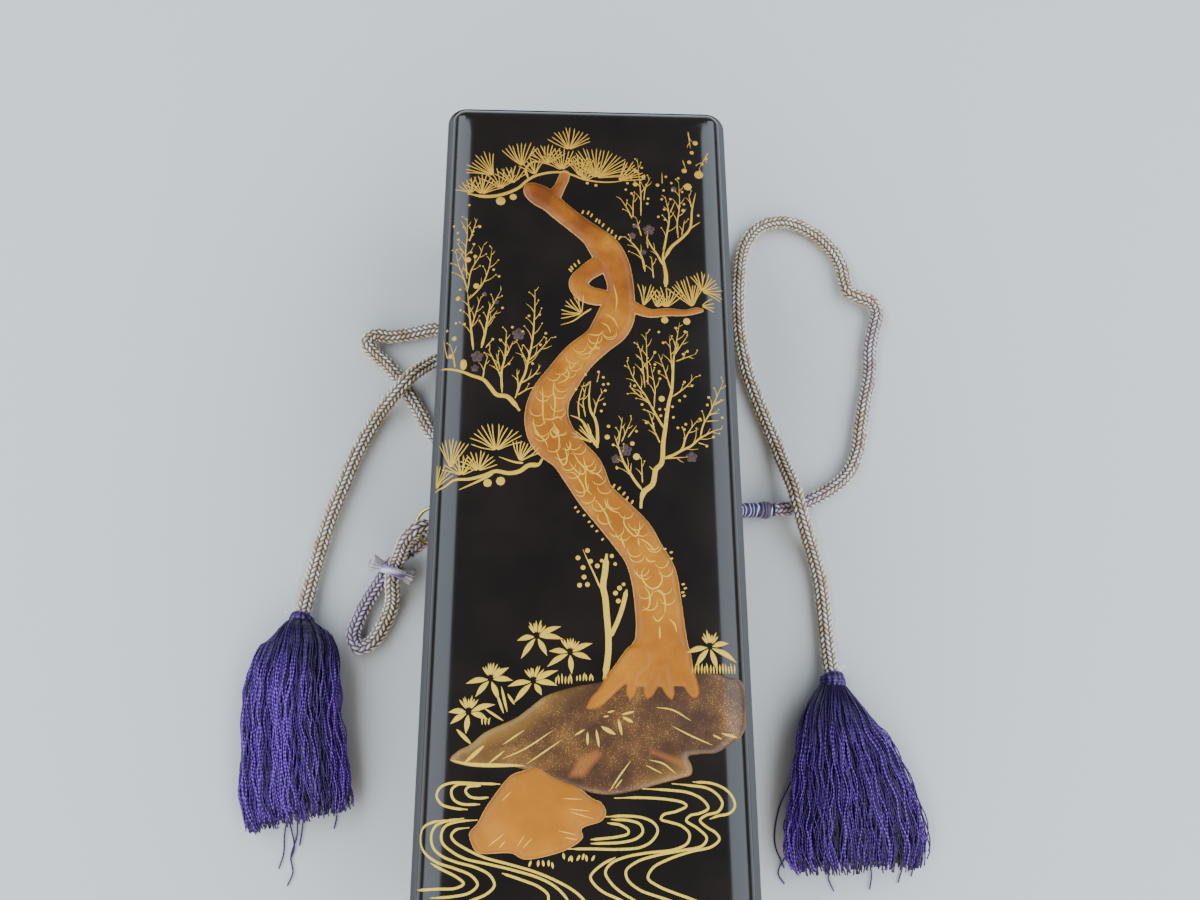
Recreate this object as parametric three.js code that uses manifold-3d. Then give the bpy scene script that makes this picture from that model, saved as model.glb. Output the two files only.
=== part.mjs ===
// A Japanese letter box of lacquered wood: an open box, a deep overlapping lid with a raised
// pine, bank and rock, brass rings on staples, and round braided silk cords with tassels.
// Millimetres, +Z up. The origin is the middle of the underside. The box is long along Y, and
// the foot of the picture is towards -Y.
import * as THREE from 'three';
import { mergeVertices } from 'three/addons/utils/BufferGeometryUtils.js';
import Module from 'manifold-3d';

// Sizes of the lid
const LID_WIDTH = 96;            // outer width at the walls
const LID_LENGTH = 273;          // outer length at the walls
const BOX_HEIGHT = 75;           // top of the crown above the table
const RIM_HEIGHT = 33;           // lower rim of the lid above the table
const LID_WALL = 2.5;            // thickness of the lid's walls
const LID_TOP = 2.6;             // thickness of the lid's top board
const LID_CORNER = 6.5;          // corner radius in plan
const LEDGE_WIDTH = 1.8;         // narrow ledge round the foot of the crown
const LEDGE_STEP = 0.5;          // upright step from the ledge to the crown
const SHOULDER_WIDTH = 8.2;      // rounded shoulder, measured inwards
const SHOULDER_HEIGHT = 4.8;     // rounded shoulder, measured up
const CROWN_RISE = 0.7;          // swelling of the top in the middle

// Sizes of the body
const BODY_CLEARANCE = 0.5;      // air between the body and the lid's walls
const BODY_WALL = 2.8;
const BODY_FLOOR = 3;
const FOOT_BEVEL = 0.8;          // eased lower edge
const SEAT_GAP = 0.3;            // air between pieces that touch, such as the lid and the body

// Sizes of the raised picture
const TRUNK_RELIEF = 1.3;
const BRANCH_RELIEF = 0.9;
const ROOT_RELIEF = 1.6;         // roots stand over the bank
const BANK_RELIEF = 0.8;
const ROCK_RELIEF = 1.7;
const RELIEF_ROOT = 1.0;         // how deep a raised piece is bedded in the lid
const PICTURE_HALF_WIDTH = 46.2; // the picture is drawn on a board of this size and
const PICTURE_HALF_LENGTH = 134.7; // stretched to the lid's crown

// Sizes of the rings and staples
const STAPLE_HEIGHT = 20;        // middle of the staple's eye above the table
const WASHER_RADIUS = 4;
const WASHER_THICKNESS = 1.1;
const EYE_RADIUS = 2.4;          // middle of the wire
const EYE_WIRE = 0.7;            // wire radius
const RING_RADIUS = 6.3;         // middle of the wire
const RING_WIRE = 0.75;          // wire radius
const SEAT_OF_EYE = 0.4;         // how far the eye is let into its washer
const LEFT_HANG = [-0.87, 0, -0.5];    // from the staple's eye to the ring's middle
const RIGHT_HANG = [0.3, 0.5, -0.81];
const LEFT_HOLD = 65;            // where the cord holds its ring, in degrees from the staple
const RIGHT_HOLD = 180;

// Sizes of the cords
const CORD_DIAMETER = 5.6;
const WHIP_RADIUS = 2.7;         // cord bound with thread
const KNOB_RADIUS = 3.2;         // last turns of a binding
const BECKET_RADIUS = 2.0;       // small thread eye on a ring, middle of its strand
const BECKET_STRAND = 0.9;       // strand radius

// Sizes of the short loop's binding
const BINDING_LENGTH = 3.2;
const BINDING_THREAD = 0.9;
const STRAND_GAP = 0.75;         // air between a strand and the sleeve
const STUB_RADIUS = 2.0;
const STUB_LENGTH = 5.5;
const STUB_SET_BACK = 0.5;       // stubs sit this far towards the ring, clear of the strands
const UPPER_STRAND = [-67.2, -14.9, 10.5];
const LOWER_STRAND = [-71.2, -14.8, 4.3];
const STRAND_DIRECTION = [-0.33, -0.93, -0.12];

// How finely the round forms are cut
const CORNER_STEPS = 4;          // steps round each corner of the box
const SMALLEST_CORNER = 0.6;     // keeps an inner corner from vanishing
const LID_SIDE_STEPS = 8;
const LID_END_STEPS = 2;
const CEILING_SIDE_STEPS = 4;
const SHOULDER_STEPS = 5;
const TRUNK_STEP = 7;            // millimetres along the trunk
const LIMB_STEP = 3.5;           // millimetres along the thinner limbs
const FEWEST_STEPS = 4;
const STEPS_PER_PLACE = 2;       // on the outlines of the bank and the rock
const WIRE_SIDES = 8;
const RING_STEPS = 24;
const EYE_STEPS = 16;
const BECKET_STEPS = 14;
const WASHER_SIDES = 16;
const STUB_SIDES = 10;
const CORD_SIDES = 8;
const WHIPPING_STEPS = 9;
const WHIPPING_SIDES = 10;
const TASSEL_STEPS = 14;
const TASSEL_SIDES = 12;
const CUT_PAST = 1;              // how far a cut runs past what it cuts

const BLACK_LACQUER = { color: 0x1c1512, roughness: 0.22, metalness: 0 };
const BRASS = { color: 0xc9a648, roughness: 0.3, metalness: 1 };
const BEIGE_SILK = { color: 0xb9a58c, roughness: 0.7, metalness: 0 };
const PURPLE_SILK = { color: 0x3a2478, roughness: 0.6, metalness: 0 };

const wasm = await Module();
wasm.setup();

const box = new THREE.Group();

// Puts a finished solid into the group under its name.
function addPiece(name, geometry, look) {
  const mesh = new THREE.Mesh(geometry, new THREE.MeshStandardMaterial(look));
  mesh.name = name;
  box.add(mesh);
  return mesh;
}

// A closed mesh from points and triangles of point numbers.
function meshOf(points, triangles) {
  const geometry = new THREE.BufferGeometry();
  geometry.setAttribute('position', new THREE.Float32BufferAttribute(points.flat(), 3));
  geometry.setIndex(triangles.flat());
  return geometry;
}

// Skins rings of equal length one after the other and closes both ends with a fan. Each ring
// runs anticlockwise, seen from the end of the row.
function loft(rings, firstMiddle, lastMiddle) {
  const points = rings.flat();
  const count = rings[0].length;
  const triangles = [];
  for (let row = 0; row + 1 < rings.length; row++) {
    for (let i = 0; i < count; i++) {
      const a = row * count + i;
      const b = row * count + (i + 1) % count;
      triangles.push([a, b, b + count], [a, b + count, a + count]);
    }
  }
  const first = points.push(firstMiddle) - 1;
  const last = points.push(lastMiddle) - 1;
  const top = (rings.length - 1) * count;
  for (let i = 0; i < count; i++) {
    const j = (i + 1) % count;
    triangles.push([first, j, i], [last, top + i, top + j]);
  }
  return meshOf(points, triangles);
}

// Between three.js geometry and exact solids that can be joined and cut.
function solidOf(geometry) {
  const bare = geometry.clone();
  bare.deleteAttribute('normal');
  bare.deleteAttribute('uv');
  const merged = mergeVertices(bare, 1e-5);
  return new wasm.Manifold(new wasm.Mesh({
    numProp: 3,
    vertProperties: new Float32Array(merged.attributes.position.array),
    triVerts: new Uint32Array(merged.index.array),
  }));
}

function geometryOf(solid) {
  const mesh = solid.getMesh();
  const geometry = new THREE.BufferGeometry();
  geometry.setAttribute('position', new THREE.BufferAttribute(mesh.vertProperties, 3));
  geometry.setIndex(new THREE.BufferAttribute(mesh.triVerts, 1));
  return geometry;
}

// A crowned top over a rounded rectangle: its height over any point in plan.
function crownOver(halfX, halfY, corner, baseZ, shoulderWidth, shoulderHeight) {
  return (x, y) => {
    const qx = Math.abs(x) - (halfX - corner);
    const qy = Math.abs(y) - (halfY - corner);
    const outside = Math.hypot(Math.max(qx, 0), Math.max(qy, 0));
    const inwards = Math.max(corner - outside - Math.min(Math.max(qx, qy), 0), 0);
    const t = 1 - Math.min(inwards / shoulderWidth, 1);
    const swell = Math.max(1 - (x / halfX) ** 2, 0) * Math.max(1 - (y / halfY) ** 2, 0);
    return baseZ + shoulderHeight * Math.sqrt(1 - t * t) + CROWN_RISE * swell;
  };
}

// The outline of a rounded rectangle, anticlockwise, with its sides cut into short steps.
function outlineOf(halfX, halfY, corner, cornerSteps, sideSteps, endSteps) {
  const outline = [];
  const centreX = halfX - corner;
  const centreY = halfY - corner;
  const corners = [[1, -1, -90], [1, 1, 0], [-1, 1, 90], [-1, -1, 180]];
  corners.forEach(([signX, signY, startAngle], n) => {
    for (let i = 0; i <= cornerSteps; i++) {
      const angle = THREE.MathUtils.degToRad(startAngle + 90 * i / cornerSteps);
      outline.push([signX * centreX + corner * Math.cos(angle), signY * centreY + corner * Math.sin(angle)]);
    }
    const steps = n % 2 === 0 ? sideSteps : endSteps;
    const [nextX, nextY, nextAngle] = corners[(n + 1) % 4];
    const angle = THREE.MathUtils.degToRad(nextAngle);
    const to = [nextX * centreX + corner * Math.cos(angle), nextY * centreY + corner * Math.sin(angle)];
    const from = outline[outline.length - 1];
    for (let i = 1; i < steps; i++) {
      const t = i / steps;
      outline.push([from[0] + (to[0] - from[0]) * t, from[1] + (to[1] - from[1]) * t]);
    }
  });
  return outline;
}

// A crowned block: straight walls from footZ up to the crown's foot, then the crown itself.
function crownedBlock({ halfX, halfY, corner, footZ, crown, ledgeZ, ledge, shoulderWidth, detail }) {
  const ringAt = (inset, heightOf) =>
    outlineOf(halfX - inset, halfY - inset, Math.max(corner - inset, SMALLEST_CORNER), ...detail)
      .map(([x, y]) => [x, y, heightOf(x, y)]);
  const rings = [ringAt(0, () => footZ), ringAt(0, () => ledgeZ)];
  if (ledge > 0) rings.push(ringAt(ledge, () => ledgeZ));
  for (let i = 0; i <= SHOULDER_STEPS; i++) {
    const inset = ledge + shoulderWidth * (1 - Math.cos(Math.PI / 2 * i / SHOULDER_STEPS));
    if (ledge === 0 && i === 0) continue;
    rings.push(ringAt(inset, crown));
  }
  const middleShare = 0.6;
  rings.push(ringAt(ledge + shoulderWidth + (halfX - ledge - shoulderWidth) * middleShare, crown));
  return loft(rings, [0, 0, footZ], [0, 0, crown(0, 0)]);
}

// The lid: a crowned block, hollowed by a smaller one
const lidHalfX = LID_WIDTH / 2;
const lidHalfY = LID_LENGTH / 2;
const crownHalfX = lidHalfX - LEDGE_WIDTH;
const crownHalfY = lidHalfY - LEDGE_WIDTH;
const crownFootZ = BOX_HEIGHT - CROWN_RISE - SHOULDER_HEIGHT;
const ledgeZ = crownFootZ - LEDGE_STEP;
const crown = crownOver(
  crownHalfX, crownHalfY, LID_CORNER - LEDGE_WIDTH, crownFootZ, SHOULDER_WIDTH, SHOULDER_HEIGHT);
const lidOuter = crownedBlock({
  halfX: lidHalfX, halfY: lidHalfY, corner: LID_CORNER, footZ: RIM_HEIGHT, crown, ledgeZ,
  ledge: LEDGE_WIDTH, shoulderWidth: SHOULDER_WIDTH, detail: [CORNER_STEPS, LID_SIDE_STEPS, LID_END_STEPS],
});

const innerHalfX = lidHalfX - LID_WALL;
const innerHalfY = lidHalfY - LID_WALL;
const innerFootZ = ledgeZ - LID_TOP;
const innerShoulderWidth = LEDGE_WIDTH + SHOULDER_WIDTH - LID_WALL;
const innerShoulderHeight = LEDGE_STEP + SHOULDER_HEIGHT;
const innerCrown = crownOver(
  innerHalfX, innerHalfY, LID_CORNER - LID_WALL, innerFootZ, innerShoulderWidth, innerShoulderHeight);
const lidInner = crownedBlock({
  halfX: innerHalfX, halfY: innerHalfY, corner: LID_CORNER - LID_WALL, footZ: RIM_HEIGHT - CUT_PAST,
  crown: innerCrown, ledgeZ: innerFootZ, ledge: 0, shoulderWidth: innerShoulderWidth,
  detail: [CORNER_STEPS, CEILING_SIDE_STEPS, 1],
});

// From the drawn board to the lid
const onBoard = ([x, y]) => [x * crownHalfX / PICTURE_HALF_WIDTH, y * crownHalfY / PICTURE_HALF_LENGTH];

// A raised limb: a half-round ridge that follows a curve over the crown. Each stop of the curve
// is a place on the board and the limb's half width there.
function limb(stops, relief, step) {
  const path = new THREE.CatmullRomCurve3(
    stops.map(([x, y, halfWidth]) => new THREE.Vector3(...onBoard([x, y]), halfWidth)), false, 'centripetal');
  const steps = Math.max(Math.round(path.getLength() / step), FEWEST_STEPS);
  const across = [-1, -0.7, 0, 0.7, 1];
  const edgeLift = 0.2;
  const rings = [];
  for (let i = 0; i <= steps; i++) {
    const at = path.getPoint(i / steps);
    const along = path.getTangent(i / steps);
    const side = new THREE.Vector2(along.y, -along.x).normalize();
    const place = (t) => [at.x + side.x * at.z * t, at.y + side.y * at.z * t];
    const upper = across.map((t) => {
      const [x, y] = place(t);
      return [x, y, crown(x, y) + edgeLift + (relief - edgeLift) * Math.sqrt(1 - t * t)];
    });
    const lower = [1, -1].map((t) => {
      const [x, y] = place(t);
      return [x, y, crown(x, y) - RELIEF_ROOT];
    });
    rings.push([...lower, ...upper]);
  }
  const middleOf = (ring) => {
    const sum = ring.reduce((a, p) => [a[0] + p[0], a[1] + p[1], a[2] + p[2]], [0, 0, 0]);
    return sum.map((v) => v / ring.length);
  };
  return loft(rings, middleOf(rings[0]), middleOf(rings[rings.length - 1]));
}

// A raised patch: an outline round a middle, swelling from a low edge to its full relief.
function patch(outline, middle, relief) {
  const centre = onBoard(middle);
  const ringAt = (share, lift) => outline.map((p) => {
    const [bx, by] = onBoard(p);
    const x = centre[0] + (bx - centre[0]) * share;
    const y = centre[1] + (by - centre[1]) * share;
    return [x, y, crown(x, y) + lift];
  });
  const edgeLift = 0.3;
  const swelling = [[1, -RELIEF_ROOT], [1, edgeLift], [0.9, 0.7 * relief], [0.62, relief]];
  const rings = swelling.map(([share, lift]) => ringAt(share, lift));
  const height = crown(...centre);
  return loft(rings, [...centre, height - RELIEF_ROOT], [...centre, height + relief]);
}

// A flat raised patch: the part of a slightly higher crown that stands on an outline.
function plateau(outline, relief) {
  const shape = new THREE.Shape(outline.map((p) => new THREE.Vector2(...onBoard(p))));
  const column = new THREE.ExtrudeGeometry(shape, { depth: BOX_HEIGHT, bevelEnabled: false });
  column.translate(0, 0, innerFootZ);
  const raisedCrown = lidOuter.clone().translate(0, 0, relief);
  return geometryOf(solidOf(column).intersect(solidOf(raisedCrown)));
}

// A smooth closed outline through a few places, anticlockwise.
function blob(places) {
  const count = places.length * STEPS_PER_PLACE;
  const points = places.map(([x, y]) => new THREE.Vector3(x, y, 0));
  const curve = new THREE.CatmullRomCurve3(points, true, 'centripetal');
  return curve.getPoints(count).slice(0, count).map((p) => [p.x, p.y]);
}

// The pine: trunk, its short fork, a curled stub, a side branch and five roots
const pine = [
  limb([
    [-19.6, 102.3, 1.3], [-18.0, 100.6, 3.2], [-15.6, 98.9, 3.9], [-12.2, 96.4, 3.6], [-8.6, 92.9, 3.5],
    [-3.6, 88.6, 3.5], [1.8, 84.0, 3.9], [5.6, 79.6, 5.1], [9.0, 73.4, 4.8], [10.7, 66.0, 4.3],
    [10.4, 60.5, 4.9], [9.1, 55.0, 6.0], [7.4, 51.4, 5.9], [4.0, 47.2, 4.9], [-2.8, 40.8, 5.2],
    [-7.6, 34.0, 5.6], [-11.6, 27.2, 6.2], [-12.6, 20.4, 6.8], [-10.8, 14.6, 7.0], [-5.9, 9.2, 6.0],
    [-1.6, 3.8, 6.4], [2.4, -3.8, 5.6], [8.4, -10.6, 6.0], [13.4, -16.4, 6.4], [16.6, -21.6, 6.1],
    [19.4, -28.0, 6.8], [20.6, -36.0, 6.9], [21.2, -44.0, 7.2], [21.2, -49.6, 8.0], [20.6, -53.6, 9.4],
    [20.2, -56.0, 9.0],
  ], TRUNK_RELIEF, TRUNK_STEP),
  limb([
    [-11.4, 98.4, 2.6], [-9.3, 102.2, 1.9], [-8.1, 105.2, 1.9], [-7.5, 107.2, 1.7],
  ], BRANCH_RELIEF, LIMB_STEP),
  limb([
    [7.0, 75.5, 3.6], [2.8, 72.8, 3.3], [-0.6, 70.2, 3.0], [-2.8, 67.0, 3.2], [-1.6, 64.0, 3.2],
    [1.6, 62.3, 3.1], [4.6, 61.9, 2.8], [6.2, 61.9, 1.6],
  ], BRANCH_RELIEF, LIMB_STEP),
  limb([
    [13.5, 59.5, 2.0], [17.2, 57.4, 1.8], [20.4, 56.5, 1.5], [26.0, 57.0, 1.4], [31.5, 56.9, 1.1],
    [35.4, 57.8, 1.1], [36.8, 57.9, 0.7],
  ], BRANCH_RELIEF, LIMB_STEP),
  limb([
    [14.5, -52.5, 4.4], [8.8, -57.8, 3.0], [5.6, -61.2, 2.5], [2.4, -64.2, 2.2], [0.3, -65.7, 1.1],
  ], ROOT_RELIEF, LIMB_STEP),
  limb([
    [13.6, -54.5, 2.6], [12.9, -58.5, 2.0], [12.3, -61.6, 1.8], [12.1, -63.3, 0.9],
  ], ROOT_RELIEF, LIMB_STEP),
  limb([
    [20.4, -55.0, 2.4], [18.8, -58.4, 2.2], [17.5, -61.2, 2.1], [17.0, -63.0, 1.0],
  ], ROOT_RELIEF, LIMB_STEP),
  limb([
    [21.6, -55.0, 2.2], [22.2, -58.8, 2.0], [23.3, -61.4, 1.9], [23.8, -63.3, 0.9],
  ], ROOT_RELIEF, LIMB_STEP),
  limb([
    [26.5, -51.5, 3.4], [27.6, -55.4, 2.8], [29.2, -59.0, 2.6], [30.2, -61.6, 2.0], [30.6, -62.9, 1.0],
  ], ROOT_RELIEF, LIMB_STEP),
];

// The bank that the pine grows on, and the rock in the stream before it
const bank = plateau(blob([
  [-38.4, -79.4], [-34.5, -81.8], [-24.0, -81.9], [-12.0, -84.5], [0.0, -88.6], [9.5, -89.0], [21.0, -85.4],
  [28.4, -84.4], [28.2, -80.4], [36.0, -77.6], [42.2, -74.6], [45.4, -71.0], [45.6, -61.0], [41.6, -58.0],
  [33.0, -56.0], [16.0, -56.0], [0.5, -58.8], [-12.0, -62.0], [-18.4, -67.0], [-30.5, -72.8],
]), BANK_RELIEF);
const rock = patch(blob([
  [-31.0, -102.8], [-28.4, -104.0], [-20.0, -103.7], [-17.4, -105.2], [-10.4, -104.6], [-3.4, -101.2],
  [-1.2, -97.8], [2.8, -96.4], [4.6, -93.4], [-0.4, -88.8], [-8.6, -85.0], [-13.0, -81.2], [-16.0, -81.4],
  [-21.4, -84.2], [-25.6, -88.6], [-31.8, -98.0],
]), [-14, -93], ROCK_RELIEF);

const raised = [...pine, bank, rock].map(solidOf);
const lid = raised.reduce((whole, piece) => whole.add(piece), solidOf(lidOuter)).subtract(solidOf(lidInner));
addPiece('lid', geometryOf(lid), BLACK_LACQUER);

// The body: an open tray that stands up inside the lid
const bodyHalfX = innerHalfX - BODY_CLEARANCE;
const bodyHalfY = innerHalfY - BODY_CLEARANCE;
const bodyCorner = LID_CORNER - LID_WALL - BODY_CLEARANCE;
const bodyTopZ = innerFootZ + SEAT_GAP;
const bodyRing = (inset, z) => {
  const corner = Math.max(bodyCorner - inset, SMALLEST_CORNER);
  return outlineOf(bodyHalfX - inset, bodyHalfY - inset, corner, CORNER_STEPS, 1, 1)
    .map(([x, y]) => [x, y, z]);
};
const bodyBlock = loft(
  [bodyRing(FOOT_BEVEL, 0), bodyRing(0, FOOT_BEVEL), bodyRing(0, bodyTopZ)], [0, 0, 0], [0, 0, bodyTopZ]);
const hollowTopZ = bodyTopZ + CUT_PAST;
const bodyHollow = loft(
  [bodyRing(BODY_WALL, BODY_FLOOR), bodyRing(BODY_WALL, hollowTopZ)], [0, 0, BODY_FLOOR], [0, 0, hollowTopZ]);
addPiece('box_body', geometryOf(solidOf(bodyBlock).subtract(solidOf(bodyHollow))), BLACK_LACQUER);

// Rings and staples. side is -1 on the left and 1 on the right.
const eyeX = bodyHalfX + SEAT_GAP + WASHER_THICKNESS + EYE_RADIUS + EYE_WIRE - SEAT_OF_EYE;
const eyeAt = (side) => new THREE.Vector3(side * eyeX, 0, STAPLE_HEIGHT);

function staple(side) {
  const washer = new THREE.CylinderGeometry(WASHER_RADIUS, WASHER_RADIUS, WASHER_THICKNESS, WASHER_SIDES);
  washer.rotateZ(Math.PI / 2);
  washer.translate(side * (bodyHalfX + SEAT_GAP + WASHER_THICKNESS / 2), 0, STAPLE_HEIGHT);
  const eye = new THREE.TorusGeometry(EYE_RADIUS, EYE_WIRE, WIRE_SIDES, EYE_STEPS);
  eye.rotateX(Math.PI / 2);
  eye.translate(...eyeAt(side).toArray());
  return geometryOf(solidOf(washer).add(solidOf(eye)));
}

// The frame of a ring that hangs from its staple: hang points from the eye to the ring's middle.
function ringFrame(side, hang) {
  const inwards = hang.clone().normalize().negate();
  const alongWall = new THREE.Vector3(0, 1, 0).addScaledVector(inwards, -inwards.y).normalize();
  const face = new THREE.Vector3().crossVectors(inwards, alongWall);
  const middle = eyeAt(side).addScaledVector(inwards, -RING_RADIUS);
  return new THREE.Matrix4().makeBasis(inwards, alongWall, face).setPosition(middle);
}

function ring(frame) {
  const wire = new THREE.TorusGeometry(RING_RADIUS, RING_WIRE, WIRE_SIDES, RING_STEPS);
  return wire.applyMatrix4(frame);
}

// A point on a ring's wire, by its angle from the staple, and the wire's direction there.
function onRing(frame, degrees) {
  const angle = THREE.MathUtils.degToRad(degrees);
  const point = new THREE.Vector3(RING_RADIUS * Math.cos(angle), RING_RADIUS * Math.sin(angle), 0);
  const along = new THREE.Vector3(-Math.sin(angle), Math.cos(angle), 0);
  return { point: point.applyMatrix4(frame), along: along.transformDirection(frame) };
}

const leftRing = ringFrame(-1, new THREE.Vector3(...LEFT_HANG));
const rightRing = ringFrame(1, new THREE.Vector3(...RIGHT_HANG));
addPiece('ring_staple_left', staple(-1), BRASS);
addPiece('ring_staple_right', staple(1), BRASS);
addPiece('ring_left', ring(leftRing), BRASS);
addPiece('ring_right', ring(rightRing), BRASS);

// Cords. The braid is a plain round tube here, laid through points chosen by hand.
const curveOf = (points) => new THREE.CatmullRomCurve3(
  points.map((p) => new THREE.Vector3(...p)), false, 'centripetal');

function cord(name, points, steps) {
  const section = new THREE.Shape();
  for (let i = 0; i < CORD_SIDES; i++) {
    const angle = 2 * Math.PI * i / CORD_SIDES;
    const corner = [CORD_DIAMETER / 2 * Math.cos(angle), CORD_DIAMETER / 2 * Math.sin(angle)];
    if (i === 0) section.moveTo(...corner);
    else section.lineTo(...corner);
  }
  section.closePath();
  const options = { extrudePath: curveOf(points), steps, curveSegments: 1 };
  const tube = new THREE.ExtrudeGeometry(section, options);
  addPiece(name, tube, BEIGE_SILK);
}

const CORD_LEFT = [
  [-50.5, 23.1, 6.2], [-50.8, 26.8, 4.3], [-51.6, 30.8, 3.2], [-54.2, 35.2, 2.9], [-58.2, 40.2, 2.9],
  [-61.8, 46.3, 2.9], [-66.8, 54.5, 2.9], [-71.6, 61.8, 2.9], [-76.6, 67.6, 3.0], [-81.4, 71.8, 3.6],
  [-84.2, 75.6, 4.6], [-81.4, 78.8, 4.4], [-76.0, 78.8, 3.4], [-70.4, 79.6, 2.9], [-63.8, 81.2, 2.9],
  [-57.6, 82.4, 2.9], [-52.6, 80.6, 2.9], [-50.6, 75.8, 2.9], [-53.0, 71.2, 3.0], [-58.0, 68.2, 3.8],
  [-62.0, 64.4, 6.4], [-66.0, 59.6, 9.1], [-69.8, 55.2, 8.8], [-73.4, 51.4, 6.6], [-76.6, 48.0, 4.3],
  [-79.9, 42.9, 3.0], [-85.2, 31.2, 2.9], [-89.3, 18.8, 2.9], [-93.6, 4.7, 2.9], [-96.2, -6.8, 2.9],
  [-98.0, -16.6, 2.9], [-99.3, -25.0, 3.5], [-99.9, -30.2, 4.5],
];
const CORD_RIGHT = [
  [72.4, 9.6, 3.7], [76.2, 9.9, 3.3], [81.5, 11.0, 2.9], [86.0, 13.0, 2.9], [94.2, 17.4, 2.9],
  [101.8, 23.6, 2.9], [106.6, 32.6, 2.9], [108.9, 42.7, 2.9], [111.3, 53.4, 2.9], [114.4, 65.0, 2.9],
  [115.7, 76.5, 2.9], [118.2, 86.0, 3.2], [119.6, 91.4, 3.8], [117.6, 96.4, 4.4], [112.6, 98.6, 4.4],
  [108.8, 101.4, 3.6], [107.8, 106.4, 3.0], [106.9, 113.4, 2.9], [102.8, 121.6, 2.9], [95.0, 129.2, 2.9],
  [84.1, 133.4, 2.9], [73.4, 130.4, 2.9], [66.8, 121.4, 2.9], [64.2, 108.5, 2.9], [63.1, 93.7, 2.9],
  [63.4, 79.4, 2.9], [65.6, 65.3, 2.9], [69.7, 51.6, 2.9], [74.6, 37.0, 3.2], [77.4, 26.4, 5.4],
  [79.4, 17.4, 8.8], [81.0, 9.4, 9.2], [83.2, 2.2, 7.2], [85.9, -5.2, 4.0], [88.3, -15.7, 2.9],
  [89.1, -27.0, 2.9], [89.4, -38.2, 2.9], [89.7, -46.4, 3.5], [89.8, -51.2, 4.5],
];
const CORD_LOOP = [
  [-61.7, -7.3, 8.4], [-59.3, -5.4, 9.2], [-56.7, -3.4, 10.7], [-55.2, -1.4, 13.8], [-55.8, -0.8, 17.6],
  [-58.8, -2.2, 19.7], [-61.9, -4.8, 18.6], [-64.2, -8.2, 15.0], [-65.8, -11.2, 11.9], [-67.0, -14.0, 10.6],
  [-67.8, -16.8, 10.2], [-68.1, -20.2, 7.8], [-68.3, -24.6, 4.2], [-69.4, -29.4, 3.0], [-71.6, -34.6, 2.9],
  [-75.0, -40.0, 2.9], [-79.6, -41.7, 2.9], [-81.8, -37.6, 2.9], [-80.3, -31.6, 2.9], [-77.8, -25.6, 2.9],
  [-74.9, -20.6, 3.4], [-72.2, -16.6, 4.1], [-70.0, -12.6, 4.3], [-67.0, -9.6, 5.4], [-62.4, -7.6, 7.9],
];
cord('cord_left', CORD_LEFT, 24);
cord('cord_right', CORD_RIGHT, 34);
cord('cord_loop_left', CORD_LOOP, 24);

// A round skin along a curve, with its own half width and half height at each stop. The
// sections stand upright, so a flat bundle lies flat.
function bundle(stops, steps, sides) {
  const path = curveOf(stops.map(([x, y, z]) => [x, y, z]));
  const size = curveOf(stops.map(([, , , halfWidth, halfHeight], i) => [halfWidth, halfHeight, i]));
  const rings = [];
  for (let i = 0; i <= steps; i++) {
    const share = i / steps;
    const at = path.getPoint(share);
    const along = path.getTangent(share);
    const { x: halfWidth, y: halfHeight } = size.getPoint(share);
    const side = new THREE.Vector3(along.y, -along.x, 0).normalize();
    const up = new THREE.Vector3().crossVectors(side, along);
    const ringPoints = [];
    for (let k = 0; k < sides; k++) {
      const angle = 2 * Math.PI * k / sides;
      const p = at.clone().addScaledVector(side, -halfWidth * Math.cos(angle));
      p.addScaledVector(up, halfHeight * Math.sin(angle));
      ringPoints.push(p.toArray());
    }
    rings.push(ringPoints);
  }
  return loft(rings, path.getPoint(0).toArray(), path.getPoint(1).toArray());
}

// A whipping: the bound end of a cord, with a small thread eye that holds the ring.
function whipping(name, held, stops) {
  const becket = new THREE.TorusGeometry(BECKET_RADIUS, BECKET_STRAND, WIRE_SIDES, BECKET_STEPS);
  const upwards = new THREE.Vector3(0, 0, 1);
  becket.applyMatrix4(new THREE.Matrix4().lookAt(held.along, new THREE.Vector3(), upwards));
  becket.translate(...held.point.toArray());
  const bound = bundle(stops, WHIPPING_STEPS, WHIPPING_SIDES);
  addPiece(name, geometryOf(solidOf(becket).add(solidOf(bound))), PURPLE_SILK);
}

whipping('whipping_left', onRing(leftRing, LEFT_HOLD), [
  [-51.4, 7.5, 17.1, 1.3, 1.3], [-50.4, 10.4, 15.2, 2.6, 2.6],
  [-50.0, 14.0, 12.6, WHIP_RADIUS, WHIP_RADIUS],
  [-50.2, 18.4, 9.3, WHIP_RADIUS, WHIP_RADIUS], [-50.4, 20.6, 7.7, KNOB_RADIUS, KNOB_RADIUS],
  [-50.5, 22.55, 6.5, WHIP_RADIUS, WHIP_RADIUS],
]);
whipping('whipping_right', onRing(rightRing, RIGHT_HOLD), [
  [55.1, 7.0, 9.2, 1.3, 1.3], [58.0, 7.9, 7.6, 2.6, 2.6], [61.4, 8.7, 5.9, WHIP_RADIUS, WHIP_RADIUS],
  [66.4, 9.2, 4.4, WHIP_RADIUS, WHIP_RADIUS], [69.4, 9.4, 3.9, KNOB_RADIUS, KNOB_RADIUS],
  [71.75, 9.55, 3.8, WHIP_RADIUS, WHIP_RADIUS],
]);

// The binding of the short loop: a sleeve of thread round both strands, with a stub each side
function stadium(half, radius) {
  const shape = new THREE.Shape();
  shape.absarc(0, half, radius, 0, Math.PI, false);
  shape.absarc(0, -half, radius, Math.PI, 2 * Math.PI, false);
  shape.closePath();
  return shape;
}

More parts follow.
